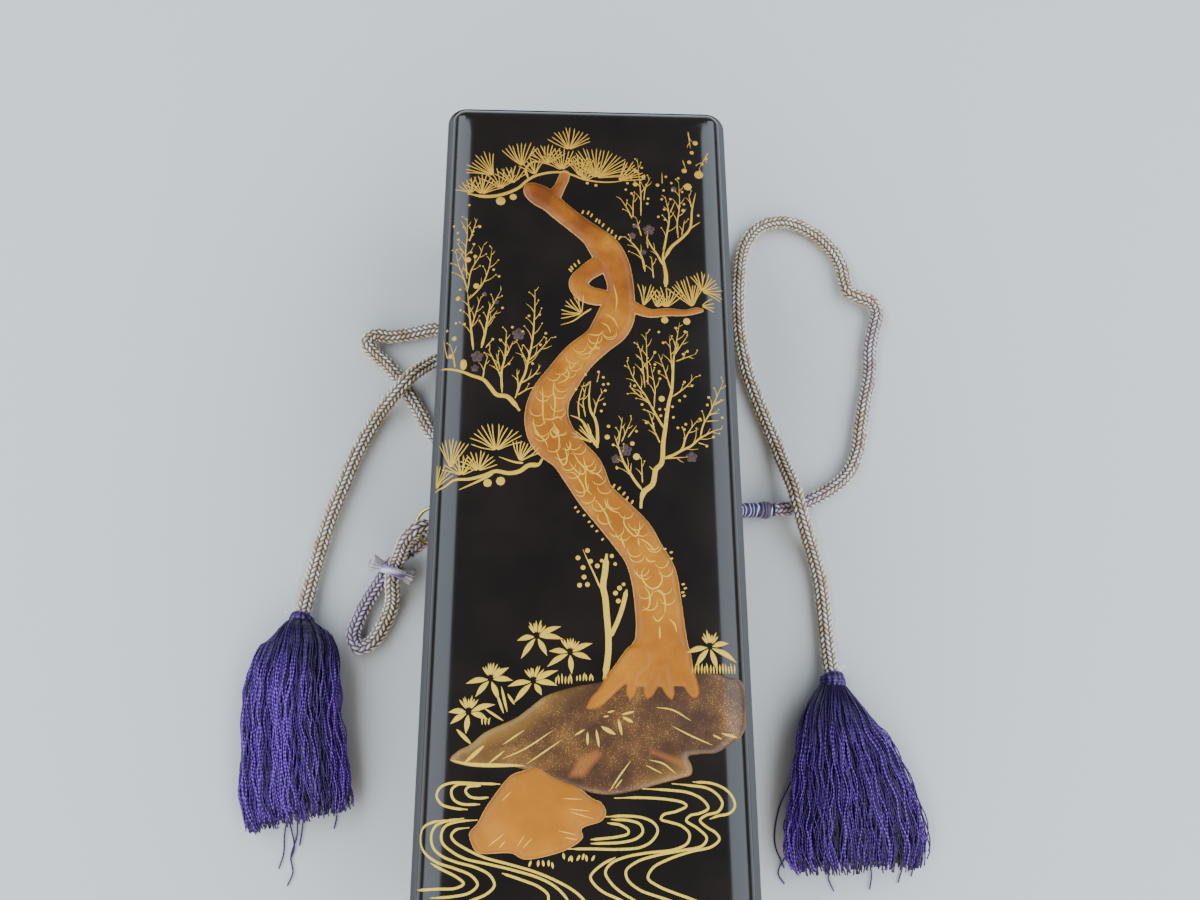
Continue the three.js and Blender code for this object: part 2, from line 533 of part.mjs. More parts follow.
function binding() {
  const upperStrand = new THREE.Vector3(...UPPER_STRAND);
  const lowerStrand = new THREE.Vector3(...LOWER_STRAND);
  const along = new THREE.Vector3(...STRAND_DIRECTION).normalize();
  const middle = upperStrand.clone().add(lowerStrand).multiplyScalar(0.5);
  const across = upperStrand.clone().sub(lowerStrand);
  across.addScaledVector(along, -across.dot(along));
  const halfSpan = across.length() / 2;
  across.normalize();
  const side = new THREE.Vector3().crossVectors(across, along);
  const frame = new THREE.Matrix4().makeBasis(side, across, along).setPosition(middle);
  const bore = CORD_DIAMETER / 2 + STRAND_GAP;
  const options = { depth: BINDING_LENGTH, bevelEnabled: false, curveSegments: 6 };
  const sleeve = new THREE.ExtrudeGeometry(stadium(halfSpan, bore + BINDING_THREAD), options);
  const cut = new THREE.ExtrudeGeometry(
    stadium(halfSpan, bore), { ...options, depth: BINDING_LENGTH + 2 * CUT_PAST });
  sleeve.translate(0, 0, -BINDING_LENGTH / 2);
  cut.translate(0, 0, -BINDING_LENGTH / 2 - CUT_PAST);
  const stubs = [-1, 1].map((way) => {
    const stub = new THREE.CylinderGeometry(STUB_RADIUS, STUB_RADIUS, STUB_LENGTH, STUB_SIDES);
    stub.rotateZ(Math.PI / 2);
    stub.translate(way * (bore + STUB_LENGTH / 2), 0, -STUB_SET_BACK);
    return solidOf(stub);
  });
  const whole = solidOf(sleeve).add(stubs[0]).add(stubs[1]).subtract(solidOf(cut));
  return geometryOf(whole).applyMatrix4(frame);
}
addPiece('loop_binding_left', binding(), PURPLE_SILK);

// Tassels: a bound neck, then a skirt of threads that fans out flat on the table. The last two
// numbers of each stop are half the width and half the thickness.
const TABLE_GAP = 0.2;
const lying = ([x, y, halfWidth, halfHeight]) => [x, y, halfHeight + TABLE_GAP, halfWidth, halfHeight];
addPiece('tassel_left', bundle([
  [-99.95, -30.8, 4.6, 3.0, 3.0], [-100.3, -33.4, 4.9, 4.6, 4.5],
  ...[
    [-99.9, -37, 8.5, 6.2], [-99.4, -41, 12, 7.4], [-99.9, -49, 14.5, 8.2], [-100.1, -57, 15.7, 8.3],
    [-99.8, -67, 15.8, 7.6], [-98.2, -78, 16.9, 6.8], [-96.8, -90, 17.6, 5.8], [-94.8, -100, 16.6, 4.6],
  ].map(lying),
], TASSEL_STEPS, TASSEL_SIDES), PURPLE_SILK);
addPiece('tassel_right', bundle([
  [89.85, -51.8, 4.6, 3.0, 3.0], [89.9, -54.4, 4.9, 4.6, 4.5],
  ...[
    [89.7, -57.8, 6.3, 5.2], [89.2, -64, 10.3, 7], [89.4, -71, 13.8, 8], [91, -80, 17.8, 8],
    [92.4, -89, 20.4, 7.6], [93.4, -101, 23.4, 6.4], [93.6, -111, 23.6, 5.4], [93.8, -117, 21.5, 4.6],
  ].map(lying),
], TASSEL_STEPS, TASSEL_SIDES), PURPLE_SILK);

export default box;
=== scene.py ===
# %% [markdown]
# # A lacquer letter box
# A letter box like this is a long box of thin wood under many coats of lacquer. Its deep lid has
# a crowned top with a picture in gold powder and raised lacquer: a pine, plum twigs, bamboo
# grass, a bank and a rock in a stream. A brass ring sits on each long side, and round braided
# silk cords with violet tassels are tied to the rings.
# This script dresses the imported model. Lengths are in millimetres until a mesh is made.

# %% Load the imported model
import math
import bmesh
import bpy
import numpy as np
from mathutils import Matrix, Vector


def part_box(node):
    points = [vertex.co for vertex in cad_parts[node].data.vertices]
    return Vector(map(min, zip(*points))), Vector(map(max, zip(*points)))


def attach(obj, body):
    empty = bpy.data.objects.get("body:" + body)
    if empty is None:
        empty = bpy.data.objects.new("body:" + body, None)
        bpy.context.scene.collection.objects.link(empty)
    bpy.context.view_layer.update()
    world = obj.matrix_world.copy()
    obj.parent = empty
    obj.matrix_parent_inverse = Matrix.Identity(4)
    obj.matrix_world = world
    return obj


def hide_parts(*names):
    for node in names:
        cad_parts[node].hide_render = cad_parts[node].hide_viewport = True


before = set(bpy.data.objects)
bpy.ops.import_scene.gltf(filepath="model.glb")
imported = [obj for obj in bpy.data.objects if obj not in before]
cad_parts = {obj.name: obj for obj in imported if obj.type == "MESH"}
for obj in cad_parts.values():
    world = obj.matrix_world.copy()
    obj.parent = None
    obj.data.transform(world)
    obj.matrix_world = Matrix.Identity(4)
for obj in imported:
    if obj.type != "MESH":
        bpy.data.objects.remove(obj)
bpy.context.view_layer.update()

MM = 0.001
print("CAD nodes:", len(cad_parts))

# %% [markdown]
# ## The camera
# The photograph looks down on the box from above its lower half, with the box turned a little
# in the picture. Three turns say that: a tilt away from straight down, a turn round the
# upright, and a roll round the line of sight. A 29 mm lens on a 36 mm sensor gives the strong
# narrowing of the box towards its far end.

# %% Camera
CAMERA_PLACE = (-8.3, -78.5, 357.7)
CAMERA_TILT = 17.59
CAMERA_TURN = -7.79
CAMERA_ROLL = 7.91
CAMERA_LENS = 29.1

camera = bpy.data.objects.new("camera", bpy.data.cameras.new("camera"))
bpy.context.collection.objects.link(camera)
camera.data.lens = CAMERA_LENS
camera.data.sensor_width = 36
camera.data.clip_start = 0.01
turn = Matrix.Rotation(math.radians(CAMERA_TURN), 4, "Z")
tilt = Matrix.Rotation(math.radians(CAMERA_TILT), 4, "X")
roll = Matrix.Rotation(math.radians(CAMERA_ROLL), 4, "Z")
camera.matrix_world = Matrix.Translation(Vector(CAMERA_PLACE) * MM) @ turn @ tilt @ roll
bpy.context.scene.camera = camera
print("camera height in mm:", CAMERA_PLACE[2])

# %% [markdown]
# ## Tools for curves and skins
# Almost everything here is a line with some thickness: a cord, a thread, a needle of the pine.
# One function rounds off a few chosen places into a smooth line (a centripetal Catmull-Rom
# curve, which passes through each place without overshooting), and one lays a skin over rows
# of points. Whole rows are worked out at once with numpy, because that is quick.

# %% Smooth lines
def smooth_line(places, step):
    """Points about `step` apart on a smooth line through the places, which may carry more than x, y, z."""
    places = np.asarray(places, float)
    room = min(places.shape[1], 3)
    ends = [2 * places[0] - places[1], 2 * places[-1] - places[-2]]
    run = np.vstack([ends[0], places, ends[1]])
    line = []
    for p0, p1, p2, p3 in zip(run, run[1:], run[2:], run[3:]):
        pairs = ((p0, p1), (p1, p2), (p2, p3))
        gaps = [max(np.sqrt(np.linalg.norm((b - a)[:room])), 1e-4) for a, b in pairs]
        start = ((p1 - p0) / gaps[0] - (p2 - p0) / (gaps[0] + gaps[1]) + (p2 - p1) / gaps[1]) * gaps[1]
        finish = ((p2 - p1) / gaps[1] - (p3 - p1) / (gaps[1] + gaps[2]) + (p3 - p2) / gaps[2]) * gaps[1]
        count = max(int(np.ceil(np.linalg.norm((p2 - p1)[:room]) / step)), 1)
        t = np.linspace(0, 1, count, endpoint=False)[:, None]
        line.append((2 * t**3 - 3 * t**2 + 1) * p1 + (t**3 - 2 * t**2 + t) * start
                    + (3 * t**2 - 2 * t**3) * p2 + (t**3 - t**2) * finish)
    return np.vstack([*line, places[-1]])


def run_length(line):
    """How far along the line each of its points is."""
    return np.concatenate([[0], np.cumsum(np.linalg.norm(np.diff(line[:, :3], axis=0), axis=1))])


# %% Skins
def skin(rows, around=True, along=False):
    """Quads over rows of points. `around` closes each row, `along` joins the last row to the first."""
    count, width = rows
    a = np.arange(count if along else count - 1)[:, None]
    b = np.arange(width if around else width - 1)[None, :]
    next_a, next_b = (a + 1) % count, (b + 1) % width
    corners = [a * width + b, a * width + next_b, next_a * width + next_b, next_a * width + b]
    return np.stack(np.broadcast_arrays(*corners), -1).reshape(-1, 4)


def capped(rows):
    """The quads of a tube with its two ends closed by a polygon each."""
    count, width = rows
    ends = [list(range(width))[::-1], list(range((count - 1) * width, count * width))]
    return skin(rows).tolist() + ends


def add_piece(name, points, faces, material, replaced=(), sharp=None, marks=None):
    """Makes a mesh of points in mm, which rides on the box. `marks` are named numbers, one for each point."""
    mesh = bpy.data.meshes.new(name)
    faces = faces.tolist() if isinstance(faces, np.ndarray) else faces
    mesh.from_pydata((np.asarray(points) * MM).tolist(), [], faces)
    for mark, values in (marks or {}).items():
        mesh.attributes.new(mark, "FLOAT", "POINT").data.foreach_set("value", np.asarray(values, np.float32))
    mesh.shade_smooth()
    if sharp is not None:
        mesh.set_sharp_from_angle(angle=math.radians(sharp))
    mesh.materials.append(material)
    piece = bpy.data.objects.new(name, mesh)
    bpy.context.collection.objects.link(piece)
    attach(piece, "root")
    if replaced:
        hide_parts(*replaced)
    print(f"{name}: {sum(len(face) - 2 for face in faces)} triangles")
    return piece


def joined(parts):
    """Several (points, faces) as one."""
    points, faces, count = [], [], 0
    for part_points, part_faces in parts:
        points.append(part_points)
        faces += [[corner + count for corner in face] for face in part_faces]
        count += len(part_points)
    return np.vstack(points), faces


# %% Frames along a line
def frames_along(line):
    """For each point of a line, its direction and two directions square to it that never twist."""
    ahead = np.gradient(line, axis=0)
    ahead /= np.linalg.norm(ahead, axis=1)[:, None]
    first = np.cross(ahead[0], [0, 0, 1.0])
    if np.linalg.norm(first) < 0.1:
        first = np.cross(ahead[0], [0, 1.0, 0])
    sides = [first / np.linalg.norm(first)]
    for direction in ahead[1:]:
        side = sides[-1] - direction * np.dot(sides[-1], direction)
        sides.append(side / np.linalg.norm(side))
    sides = np.array(sides)
    return ahead, sides, np.cross(sides, ahead)


def tube(line, radii, around):
    """A round skin along a line. `radii` is one number, one a point, or one a point and direction."""
    ahead, side, up = frames_along(line)
    angle = 2 * np.pi * np.arange(around) / around
    ring = side[:, None] * np.cos(angle)[:, None] + up[:, None] * np.sin(angle)[:, None]
    radii = np.broadcast_to(np.asarray(radii, float).reshape(-1, 1) if np.ndim(radii) < 2 else radii,
                            (len(line), around))
    points = line[:, None] + ring * radii[..., None]
    return points.reshape(-1, 3), capped((len(line), around))


# %% [markdown]
# ## Tools for materials
# Colours are chosen as sRGB hex values, the way a colour picker shows them, and one function
# turns them to the linear values that a shader works with. One small function adds a node with
# its settings and links, and a few more stand for usual steps, such as soft noise or a blend, so
# that each material reads like a recipe.

# %% Material tools
def colour(hex_value):
    """A linear RGBA colour from an sRGB hex value."""
    parts = [int(hex_value[i:i + 2], 16) / 255 for i in (1, 3, 5)]
    linear = [v / 12.92 if v <= 0.04045 else ((v + 0.055) / 1.055) ** 2.4 for v in parts]
    return (*linear, 1.0)


def new_material(name):
    """An empty material."""
    material = bpy.data.materials.new(name)
    material.use_nodes = True
    material.node_tree.nodes.clear()
    return material


def add_node(material, kind, inputs=None, **settings):
    """Adds a node, sets its options, and fills its inputs with values or with other nodes' outputs."""
    node = material.node_tree.nodes.new("ShaderNode" + kind)
    for option, value in settings.items():
        setattr(node, option, value)
    for socket, value in (inputs or {}).items():
        if isinstance(value, bpy.types.NodeSocket):
            material.node_tree.links.new(value, node.inputs[socket])
        else:
            node.inputs[socket].default_value = value
    return node


def set_stops(ramp, stops):
    """Gives a colour ramp its stops: pairs of a place from 0 to 1 and a hex colour."""
    elements = ramp.color_ramp.elements
    while len(elements) < len(stops):
        elements.new(0.5)
    for element, (place, hex_value) in zip(elements, stops):
        element.position = place
        element.color = colour(hex_value)
    return ramp


# %% Steps of a recipe
def cloudy(material, size, detail):
    """Soft noise with patches about `size` mm wide."""
    place = add_node(material, "TexCoord").outputs["Object"]
    noise = add_node(material, "TexNoise", {"Vector": place, "Scale": 1 / (size * MM), "Detail": detail})
    return noise.outputs["Fac"]


def mark_of(material, name):
    """A mark that the points of the mesh carry."""
    return add_node(material, "Attribute", attribute_name=name).outputs["Fac"]


def mapped(material, value, reach, onto):
    """A value moved from one range onto another."""
    return add_node(material, "MapRange", {
        "Value": value, "From Min": reach[0], "From Max": reach[1],
        "To Min": onto[0], "To Max": onto[1]}).outputs["Result"]


def worked(material, operation, first, second=0.0):
    """One sum on values."""
    return add_node(material, "Math", {0: first, 1: second}, operation=operation).outputs["Value"]


def toned(material, value, stops):
    """The colours of a ramp, looked up by a value."""
    return set_stops(add_node(material, "ValToRGB", {"Fac": value}), stops).outputs["Color"]


def blended(material, share, first, second):
    """A mix of a colour with a second one, which may be a hex value."""
    second = colour(second) if isinstance(second, str) else second
    return add_node(material, "Mix", {0: share, 6: first, 7: second}, data_type="RGBA").outputs[2]


def bumpy(material, height, strength, distance):
    """A surface made uneven by a value. `distance` is in mm."""
    bump = add_node(material, "Bump", {"Height": height, "Strength": strength, "Distance": distance * MM})
    return bump.outputs["Normal"]


def painted_foot_light(material, far, share):
    """A value that grows towards the near end, from 0 to `share`, within `far` mm of the middle: painted
    light, for the brighter light on the near end of the lid.
    """
    place = add_node(material, "TexCoord").outputs["Object"]
    along = add_node(material, "SeparateXYZ", {"Vector": place}).outputs["Y"]
    return mapped(material, along, (far * MM, -far * MM), (0.0, share))


def finished(material, settings):
    """Gives a material its surface and its output."""
    surface = add_node(material, "BsdfPrincipled", settings)
    add_node(material, "OutputMaterial", {"Surface": surface.outputs["BSDF"]})
    print("material:", material.name)


# %% [markdown]
# ## Brown-black lacquer
# Urushi lacquer is brushed on in many coats, and the last one is polished with powder and oil.
# The eye sees a very dark warm brown with a soft gloss: reflections are clear but not glassy,
# and a fine unevenness of the brushed ground breaks them a little. So the colour is nearly
# flat, and the character lies in a low roughness that varies slowly, with a faint bump.

# %% Lacquer material
LACQUER_CLOUD = 18
LACQUER_DUST = 0.35

urushi = new_material("brown-black urushi, brushed and polished")
cloud = cloudy(urushi, LACQUER_CLOUD, 3.0)
finished(urushi, {
    "Base Color": toned(urushi, cloud, [(0.35, "#15100d"), (0.7, "#1e1611")]),
    "Roughness": mapped(urushi, cloud, (0.0, 1.0), (0.13, 0.24)),
    "Normal": bumpy(urushi, cloudy(urushi, LACQUER_DUST, 2.0), 0.05, 0.05),
    "IOR": 1.5, "Coat Weight": 0.4, "Coat Roughness": 0.08})

# %% [markdown]
# ## The lid
# The lid is made of thin boards: upright walls, a narrow ledge, then a quarter-round
# shoulder that rises to a gently crowned top. A chain of rounded rectangles describes all of
# it, from the middle of the ceiling down the inside, round the rim and up the outside to the
# middle of the top. Each bend gets a few close rows, so that the light runs round the edges as
# it does on a lacquered one.

# %% Sizes of the lid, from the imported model
lid_low, lid_high = [np.array(corner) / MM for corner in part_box("lid")]
body_high = np.array(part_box("box_body")[1]) / MM
LID_HALF_X = 48.0
LID_HALF_Y = 136.5
LID_CORNER = 6.5
RIM_HEIGHT = lid_low[2]
LID_WALL = 2.5
LEDGE_WIDTH = 1.8
CROWN_TOP = 75.0
CROWN_RISE = 0.7
SHOULDER_WIDTH = 8.2
SHOULDER_HEIGHT = 4.8
LEDGE_STEP = 0.5
CROWN_FOOT = CROWN_TOP - CROWN_RISE - SHOULDER_HEIGHT
LID_BOARD = 2.6
CEILING_FOOT = CROWN_FOOT - LEDGE_STEP - LID_BOARD
CROWN_HALF_X = LID_HALF_X - LEDGE_WIDTH
CROWN_HALF_Y = LID_HALF_Y - LEDGE_WIDTH
print("lid in the packed model:", lid_low.round(1), lid_high.round(1))


# %% The crowned top
def crown_over(half_x, half_y, corner, foot, width, height):
    """The height of a crowned top over places in plan."""
    def top(x, y):
        qx, qy = np.abs(x) - (half_x - corner), np.abs(y) - (half_y - corner)
        outside = np.hypot(np.maximum(qx, 0), np.maximum(qy, 0))
        inwards = np.maximum(corner - outside - np.minimum(np.maximum(qx, qy), 0), 0)
        t = 1 - np.minimum(inwards / width, 1)
        swell = np.maximum(1 - (x / half_x) ** 2, 0) * np.maximum(1 - (y / half_y) ** 2, 0)
        return foot + height * np.sqrt(1 - t * t) + CROWN_RISE * swell
    return top


crown = crown_over(CROWN_HALF_X, CROWN_HALF_Y, LID_CORNER - LEDGE_WIDTH, CROWN_FOOT,
                   SHOULDER_WIDTH, SHOULDER_HEIGHT)
ceiling = crown_over(LID_HALF_X - LID_WALL, LID_HALF_Y - LID_WALL, LID_CORNER - LID_WALL, CEILING_FOOT,
                     LEDGE_WIDTH + SHOULDER_WIDTH - LID_WALL, LEDGE_STEP + SHOULDER_HEIGHT)
print("height of the top in its middle:", crown(0, 0).round(2))


# %% Rounded rectangles
CORNER_STEPS = 12
SIDE_STEPS = 60
END_STEPS = 20


def rounded_rectangle(half_x, half_y, corner):
    """The outline of a rounded rectangle, anticlockwise."""
    centre_x, centre_y = half_x - corner, half_y - corner
    turns = [(1, -1, -90), (1, 1, 0), (-1, 1, 90), (-1, -1, 180)]
    outline = []
    for number, (sign_x, sign_y, start) in enumerate(turns):
        angle = np.radians(start + 90 * np.arange(CORNER_STEPS + 1) / CORNER_STEPS)
        arc = np.stack([sign_x * centre_x + corner * np.cos(angle),
                        sign_y * centre_y + corner * np.sin(angle)], 1)
        next_x, next_y, next_start = turns[(number + 1) % 4]
        goal = np.array([next_x * centre_x + corner * np.cos(np.radians(next_start)),
                         next_y * centre_y + corner * np.sin(np.radians(next_start))])
        steps = SIDE_STEPS if number % 2 == 0 else END_STEPS
        share = np.arange(1, steps)[:, None] / steps
        outline += [arc, arc[-1] + (goal - arc[-1]) * share]
    return np.vstack(outline)


def shell(half_x, half_y, corner, stations):
    """Rows of points round a box. A station is how far in a row lies and its height, or a function for it."""
    rows = []
    for inset, height in stations:
        outline = rounded_rectangle(half_x - inset, half_y - inset, max(corner - inset, 0))
        z = height(outline[:, 0], outline[:, 1]) if callable(height) else np.full(len(outline), height)
        rows.append(np.column_stack([outline, z]))
    return np.vstack(rows), skin((len(rows), len(rows[0])), around=True)


def rounded(inset, height, radius, turn_in, turn_up, steps=4):
    """Stations round an edge of the wall's section. turn_in and turn_up say which way it bends."""
    angle = np.radians(np.linspace(0, 90, steps + 1))
    return [(inset + turn_in * radius * (1 - np.cos(a)),
             height + turn_up * radius * np.sin(a)) for a in angle]


# %% Lid
EDGE_ROUND = 0.35
NEAR_ROW = 2.0
LEDGE_HEIGHT = CROWN_FOOT - LEDGE_STEP
SHOULDER_ROWS = 22
TOP_ROWS = 9
WELD = 0.001

inner_shoulder = LEDGE_WIDTH + SHOULDER_WIDTH - LID_WALL
quarter = np.radians(np.linspace(0, 90, SHOULDER_ROWS + 1))
stations = [(LID_HALF_X - share * (LID_HALF_X - LID_WALL - inner_shoulder), ceiling)
            for share in np.linspace(0, 1, TOP_ROWS)]
stations += [(LID_WALL + inner_shoulder * (1 - np.cos(a)), ceiling) for a in quarter[::-2][1:]]
stations += [(LID_WALL, CEILING_FOOT - 1.0), (LID_WALL, RIM_HEIGHT + NEAR_ROW)]
stations += rounded(LID_WALL, RIM_HEIGHT + EDGE_ROUND, EDGE_ROUND, -1, -1)
stations += rounded(0, RIM_HEIGHT + EDGE_ROUND, EDGE_ROUND, 1, -1)[::-1]
stations += [(0, RIM_HEIGHT + NEAR_ROW), (0, LEDGE_HEIGHT - NEAR_ROW)]
stations += rounded(0, LEDGE_HEIGHT - EDGE_ROUND, EDGE_ROUND, 1, 1)
stations += [(LEDGE_WIDTH - 0.25, LEDGE_HEIGHT), (LEDGE_WIDTH - 0.05, LEDGE_HEIGHT + 0.05),
             (LEDGE_WIDTH, LEDGE_HEIGHT + 0.2)]
stations += [(LEDGE_WIDTH + SHOULDER_WIDTH * (1 - np.cos(a)), crown) for a in quarter]
flat_half = LID_HALF_X - LEDGE_WIDTH - SHOULDER_WIDTH
stations += [(LEDGE_WIDTH + SHOULDER_WIDTH + share * flat_half, crown)
             for share in np.linspace(0, 1, TOP_ROWS)[1:]]
lid_points, lid_faces = shell(LID_HALF_X, LID_HALF_Y, LID_CORNER, stations)
lid_shell = add_piece("lid_shell", lid_points, lid_faces, urushi, ["lid"])


def weld(piece):
    """Joins points that lie on each other, so that the skin closes where a row has shrunk to a line."""
    mesh = bmesh.new()
    mesh.from_mesh(piece.data)
    bmesh.ops.remove_doubles(mesh, verts=mesh.verts, dist=WELD * MM)
    bmesh.ops.recalc_face_normals(mesh, faces=mesh.faces)
    mesh.to_mesh(piece.data)
    mesh.free()


weld(lid_shell)

# %% [markdown]
# ## The box under the lid
# The body is an open tray that stands up inside the lid. Only its lower walls show below the
# rim of the lid, but it is hollow and finished inside, because the lid lifts off.

# %% Body
LID_PLAY = 0.5
BODY_INSET = LID_WALL + LID_PLAY
BODY_HALF_X = LID_HALF_X - BODY_INSET
BODY_HALF_Y = LID_HALF_Y - BODY_INSET
BODY_CORNER = LID_CORNER - BODY_INSET
BODY_WALL = 2.8
BODY_FLOOR = 3.0
BODY_TOP = body_high[2]
FOOT_ROUND = 0.8
NEAR_TOP = 1.5

stations = [(BODY_HALF_X, 0.0), (BODY_HALF_X * 0.5, 0.0), (FOOT_ROUND + 1.5, 0.0)]
stations += rounded(0, FOOT_ROUND, FOOT_ROUND, 1, -1)[::-1]
stations += [(0, 3.0), (0, RIM_HEIGHT), (0, BODY_TOP - NEAR_TOP)]
stations += rounded(0, BODY_TOP - EDGE_ROUND, EDGE_ROUND, 1, 1)
stations += rounded(BODY_WALL, BODY_TOP - EDGE_ROUND, EDGE_ROUND, -1, 1)[::-1]
stations += [(BODY_WALL, BODY_TOP - NEAR_TOP), (BODY_WALL, BODY_FLOOR + 2.0)]
stations += [(BODY_WALL + FOOT_ROUND * (1 - np.cos(a)), BODY_FLOOR + FOOT_ROUND * (1 - np.sin(a)))
             for a in np.radians([0, 22, 45, 67, 90])]
stations += [(BODY_WALL + 2.5, BODY_FLOOR), (BODY_HALF_X * 0.5, BODY_FLOOR), (BODY_HALF_X, BODY_FLOOR)]
body_points, body_faces = shell(BODY_HALF_X, BODY_HALF_Y, BODY_CORNER, stations)
weld(add_piece("box_shell", body_points, body_faces, urushi, ["box_body"]))

# %% [markdown]
# ## Where the picture lies
# The picture runs over the shoulders of the lid, so its places are given on the unrolled top:
# u across and v along, in millimetres. `across_to_x` wraps them back over the shoulder, and
# `on_plan` lifts them off the surface by the thickness of the lacquer.

# %% Unrolling the top
flat_to = CROWN_HALF_X - SHOULDER_WIDTH
bend = np.radians(np.linspace(0, 90, 181))
bend_x = flat_to + SHOULDER_WIDTH * np.sin(bend)
bend_arc = flat_to + np.concatenate([[0], np.cumsum(np.hypot(
    np.diff(SHOULDER_WIDTH * np.sin(bend)), np.diff(SHOULDER_HEIGHT * np.cos(bend))))])
GRADIENT_STEP = 0.05


def across_to_x(u):
    """The plan place x of an unrolled place u."""
    return np.sign(u) * np.where(np.abs(u) < flat_to, np.abs(u), np.interp(np.abs(u), bend_arc, bend_x))


def outwards(x, y):
    """The direction square to the lid's top at places in plan."""
    t = np.clip((np.abs(x) - flat_to) / SHOULDER_WIDTH, 0, 0.999)
    slope_x = -np.sign(x) * SHOULDER_HEIGHT / SHOULDER_WIDTH * t / np.sqrt(1 - t * t)
    slope_y = (crown(x, y + GRADIENT_STEP) - crown(x, y - GRADIENT_STEP)) / (2 * GRADIENT_STEP)
    normal = np.stack([-slope_x, -slope_y, np.ones_like(slope_x)], -1)
    return normal / np.linalg.norm(normal, axis=-1)[..., None]


def on_plan(x, y, lift):
    """Points on the lid's top at places in plan, lifted square to it."""
    return np.stack([x, y, crown(x, y)], -1) + outwards(x, y) * np.asarray(lift)[..., None]


print("half the unrolled width:", bend_arc[-1].round(2))

# %% [markdown]
# ## The raised pine
# The trunk is takamaki-e: it is built up in layers of lacquer and charcoal powder until it
# stands a millimetre proud, then rubbed level and coated in ochre. So its top is nearly flat and
# only its edge is round. Each limb is a middle line with a half width, and the height over the
# board depends on how far inside the limb a point lies. The same formula later lifts the gold
# lines onto the bark.


# %% Limbs
FAR_OUTSIDE = -9.0


def depth_in_limb(x, y, stops):
    """How far inside a limb each place is, below 0 outside it. The stops are places with a half width."""
    spine = smooth_line(stops, 0.5)
    reach = spine[:, 2].max() + 2
    close = ((x > spine[:, 0].min() - reach) & (x < spine[:, 0].max() + reach)
             & (y > spine[:, 1].min() - reach) & (y < spine[:, 1].max() + reach))
    best = np.full(np.count_nonzero(close), FAR_OUTSIDE)
    for middle_x, middle_y, half_width in spine:
        best = np.maximum(best, half_width - np.hypot(x[close] - middle_x, y[close] - middle_y))
    depth = np.full(np.shape(x), FAR_OUTSIDE)
    depth[close] = best
    return depth


EDGE_CURVE = 2.2
OUTSIDE_FALL = 0.9
KNOT_RELIEF = 0.05


def edged(depth, relief, width):
    """Height over the lid: a rounded edge of some width, then level. Outside it falls below the lid."""
    rise = relief * (1 - (1 - np.clip(depth / width, 0, 1)) ** EDGE_CURVE)
    return np.where(depth > 0, rise, OUTSIDE_FALL * depth)


def melted(a, b, softness=0.25):
    """The higher of two heights, with a soft fillet where they cross."""
    return np.maximum(a, b) + np.maximum(softness - np.abs(a - b), 0) ** 2 / (4 * softness)


# %% The pine's shape
TRUNK_RELIEF = 1.3
BRANCH_RELIEF = 0.9
ROOT_RELIEF = 1.6
TRUNK_EDGE = 2.4
LIMB_EDGE = 1.6
TRUNK_FOOT = -61.0
TRUNK = [
    [-19.6, 102.3, 1.3], [-18.0, 100.6, 3.2], [-15.6, 98.9, 3.9], [-12.2, 96.4, 3.6], [-8.6, 92.9, 3.5],
    [-3.6, 88.6, 3.5], [1.8, 84.0, 3.9], [5.6, 79.6, 5.1], [9.0, 73.4, 4.8], [10.7, 66.0, 4.3],
    [10.4, 60.5, 4.9], [9.1, 55.0, 6.0], [7.4, 51.4, 5.9], [4.0, 47.2, 4.9], [-2.8, 40.8, 5.2],
    [-7.6, 34.0, 5.6], [-11.6, 27.2, 6.2], [-12.6, 20.4, 6.8], [-10.8, 14.6, 7.0], [-5.9, 9.2, 6.0],
    [-1.6, 3.8, 6.4], [2.4, -3.8, 5.6], [8.4, -10.6, 6.0], [13.4, -16.4, 6.4], [16.6, -21.6, 6.1],
    [19.4, -28.0, 6.8], [20.6, -36.0, 6.9], [21.2, -44.0, 7.2], [21.2, -49.6, 8.0], [20.6, -53.6, 9.4],
    [20.2, -56.0, 9.6],
]
LIMBS = [
    [[-11.4, 98.4, 2.6], [-9.3, 102.2, 1.9], [-8.1, 105.2, 1.9], [-7.5, 107.2, 1.7]],
    [[7.0, 75.5, 3.6], [2.8, 72.8, 3.3], [-0.6, 70.2, 3.0], [-2.8, 67.0, 3.2], [-1.6, 64.0, 3.2], [1.6,
     62.3, 3.1], [4.6, 61.9, 2.8], [6.2, 61.9, 1.6]],
    [[13.5, 59.5, 2.0], [17.2, 57.4, 1.8], [20.4, 56.5, 1.5], [26.0, 57.0, 1.4], [31.5, 56.9, 1.1], [35.4,
     57.8, 1.1], [36.8, 57.9, 0.7]],
]
ROOTS = [
    [[14.5, -52.5, 4.4], [8.8, -57.8, 3.0], [5.6, -61.2, 2.5], [2.4, -64.2, 2.2], [0.3, -65.7, 1.1]],
    [[13.6, -54.5, 2.6], [12.9, -58.5, 2.0], [12.3, -61.6, 1.8], [12.1, -63.3, 0.9]],
    [[20.4, -55.0, 2.4], [18.8, -58.4, 2.2], [17.5, -61.2, 2.1], [17.0, -63.0, 1.0]],
    [[21.6, -55.0, 2.2], [22.2, -58.8, 2.0], [23.3, -61.4, 1.9], [23.8, -63.3, 0.9]],
    [[26.5, -51.5, 3.4], [27.6, -55.4, 2.8], [29.2, -59.0, 2.6], [30.2, -61.6, 2.0], [30.6, -62.9, 1.0]],
]


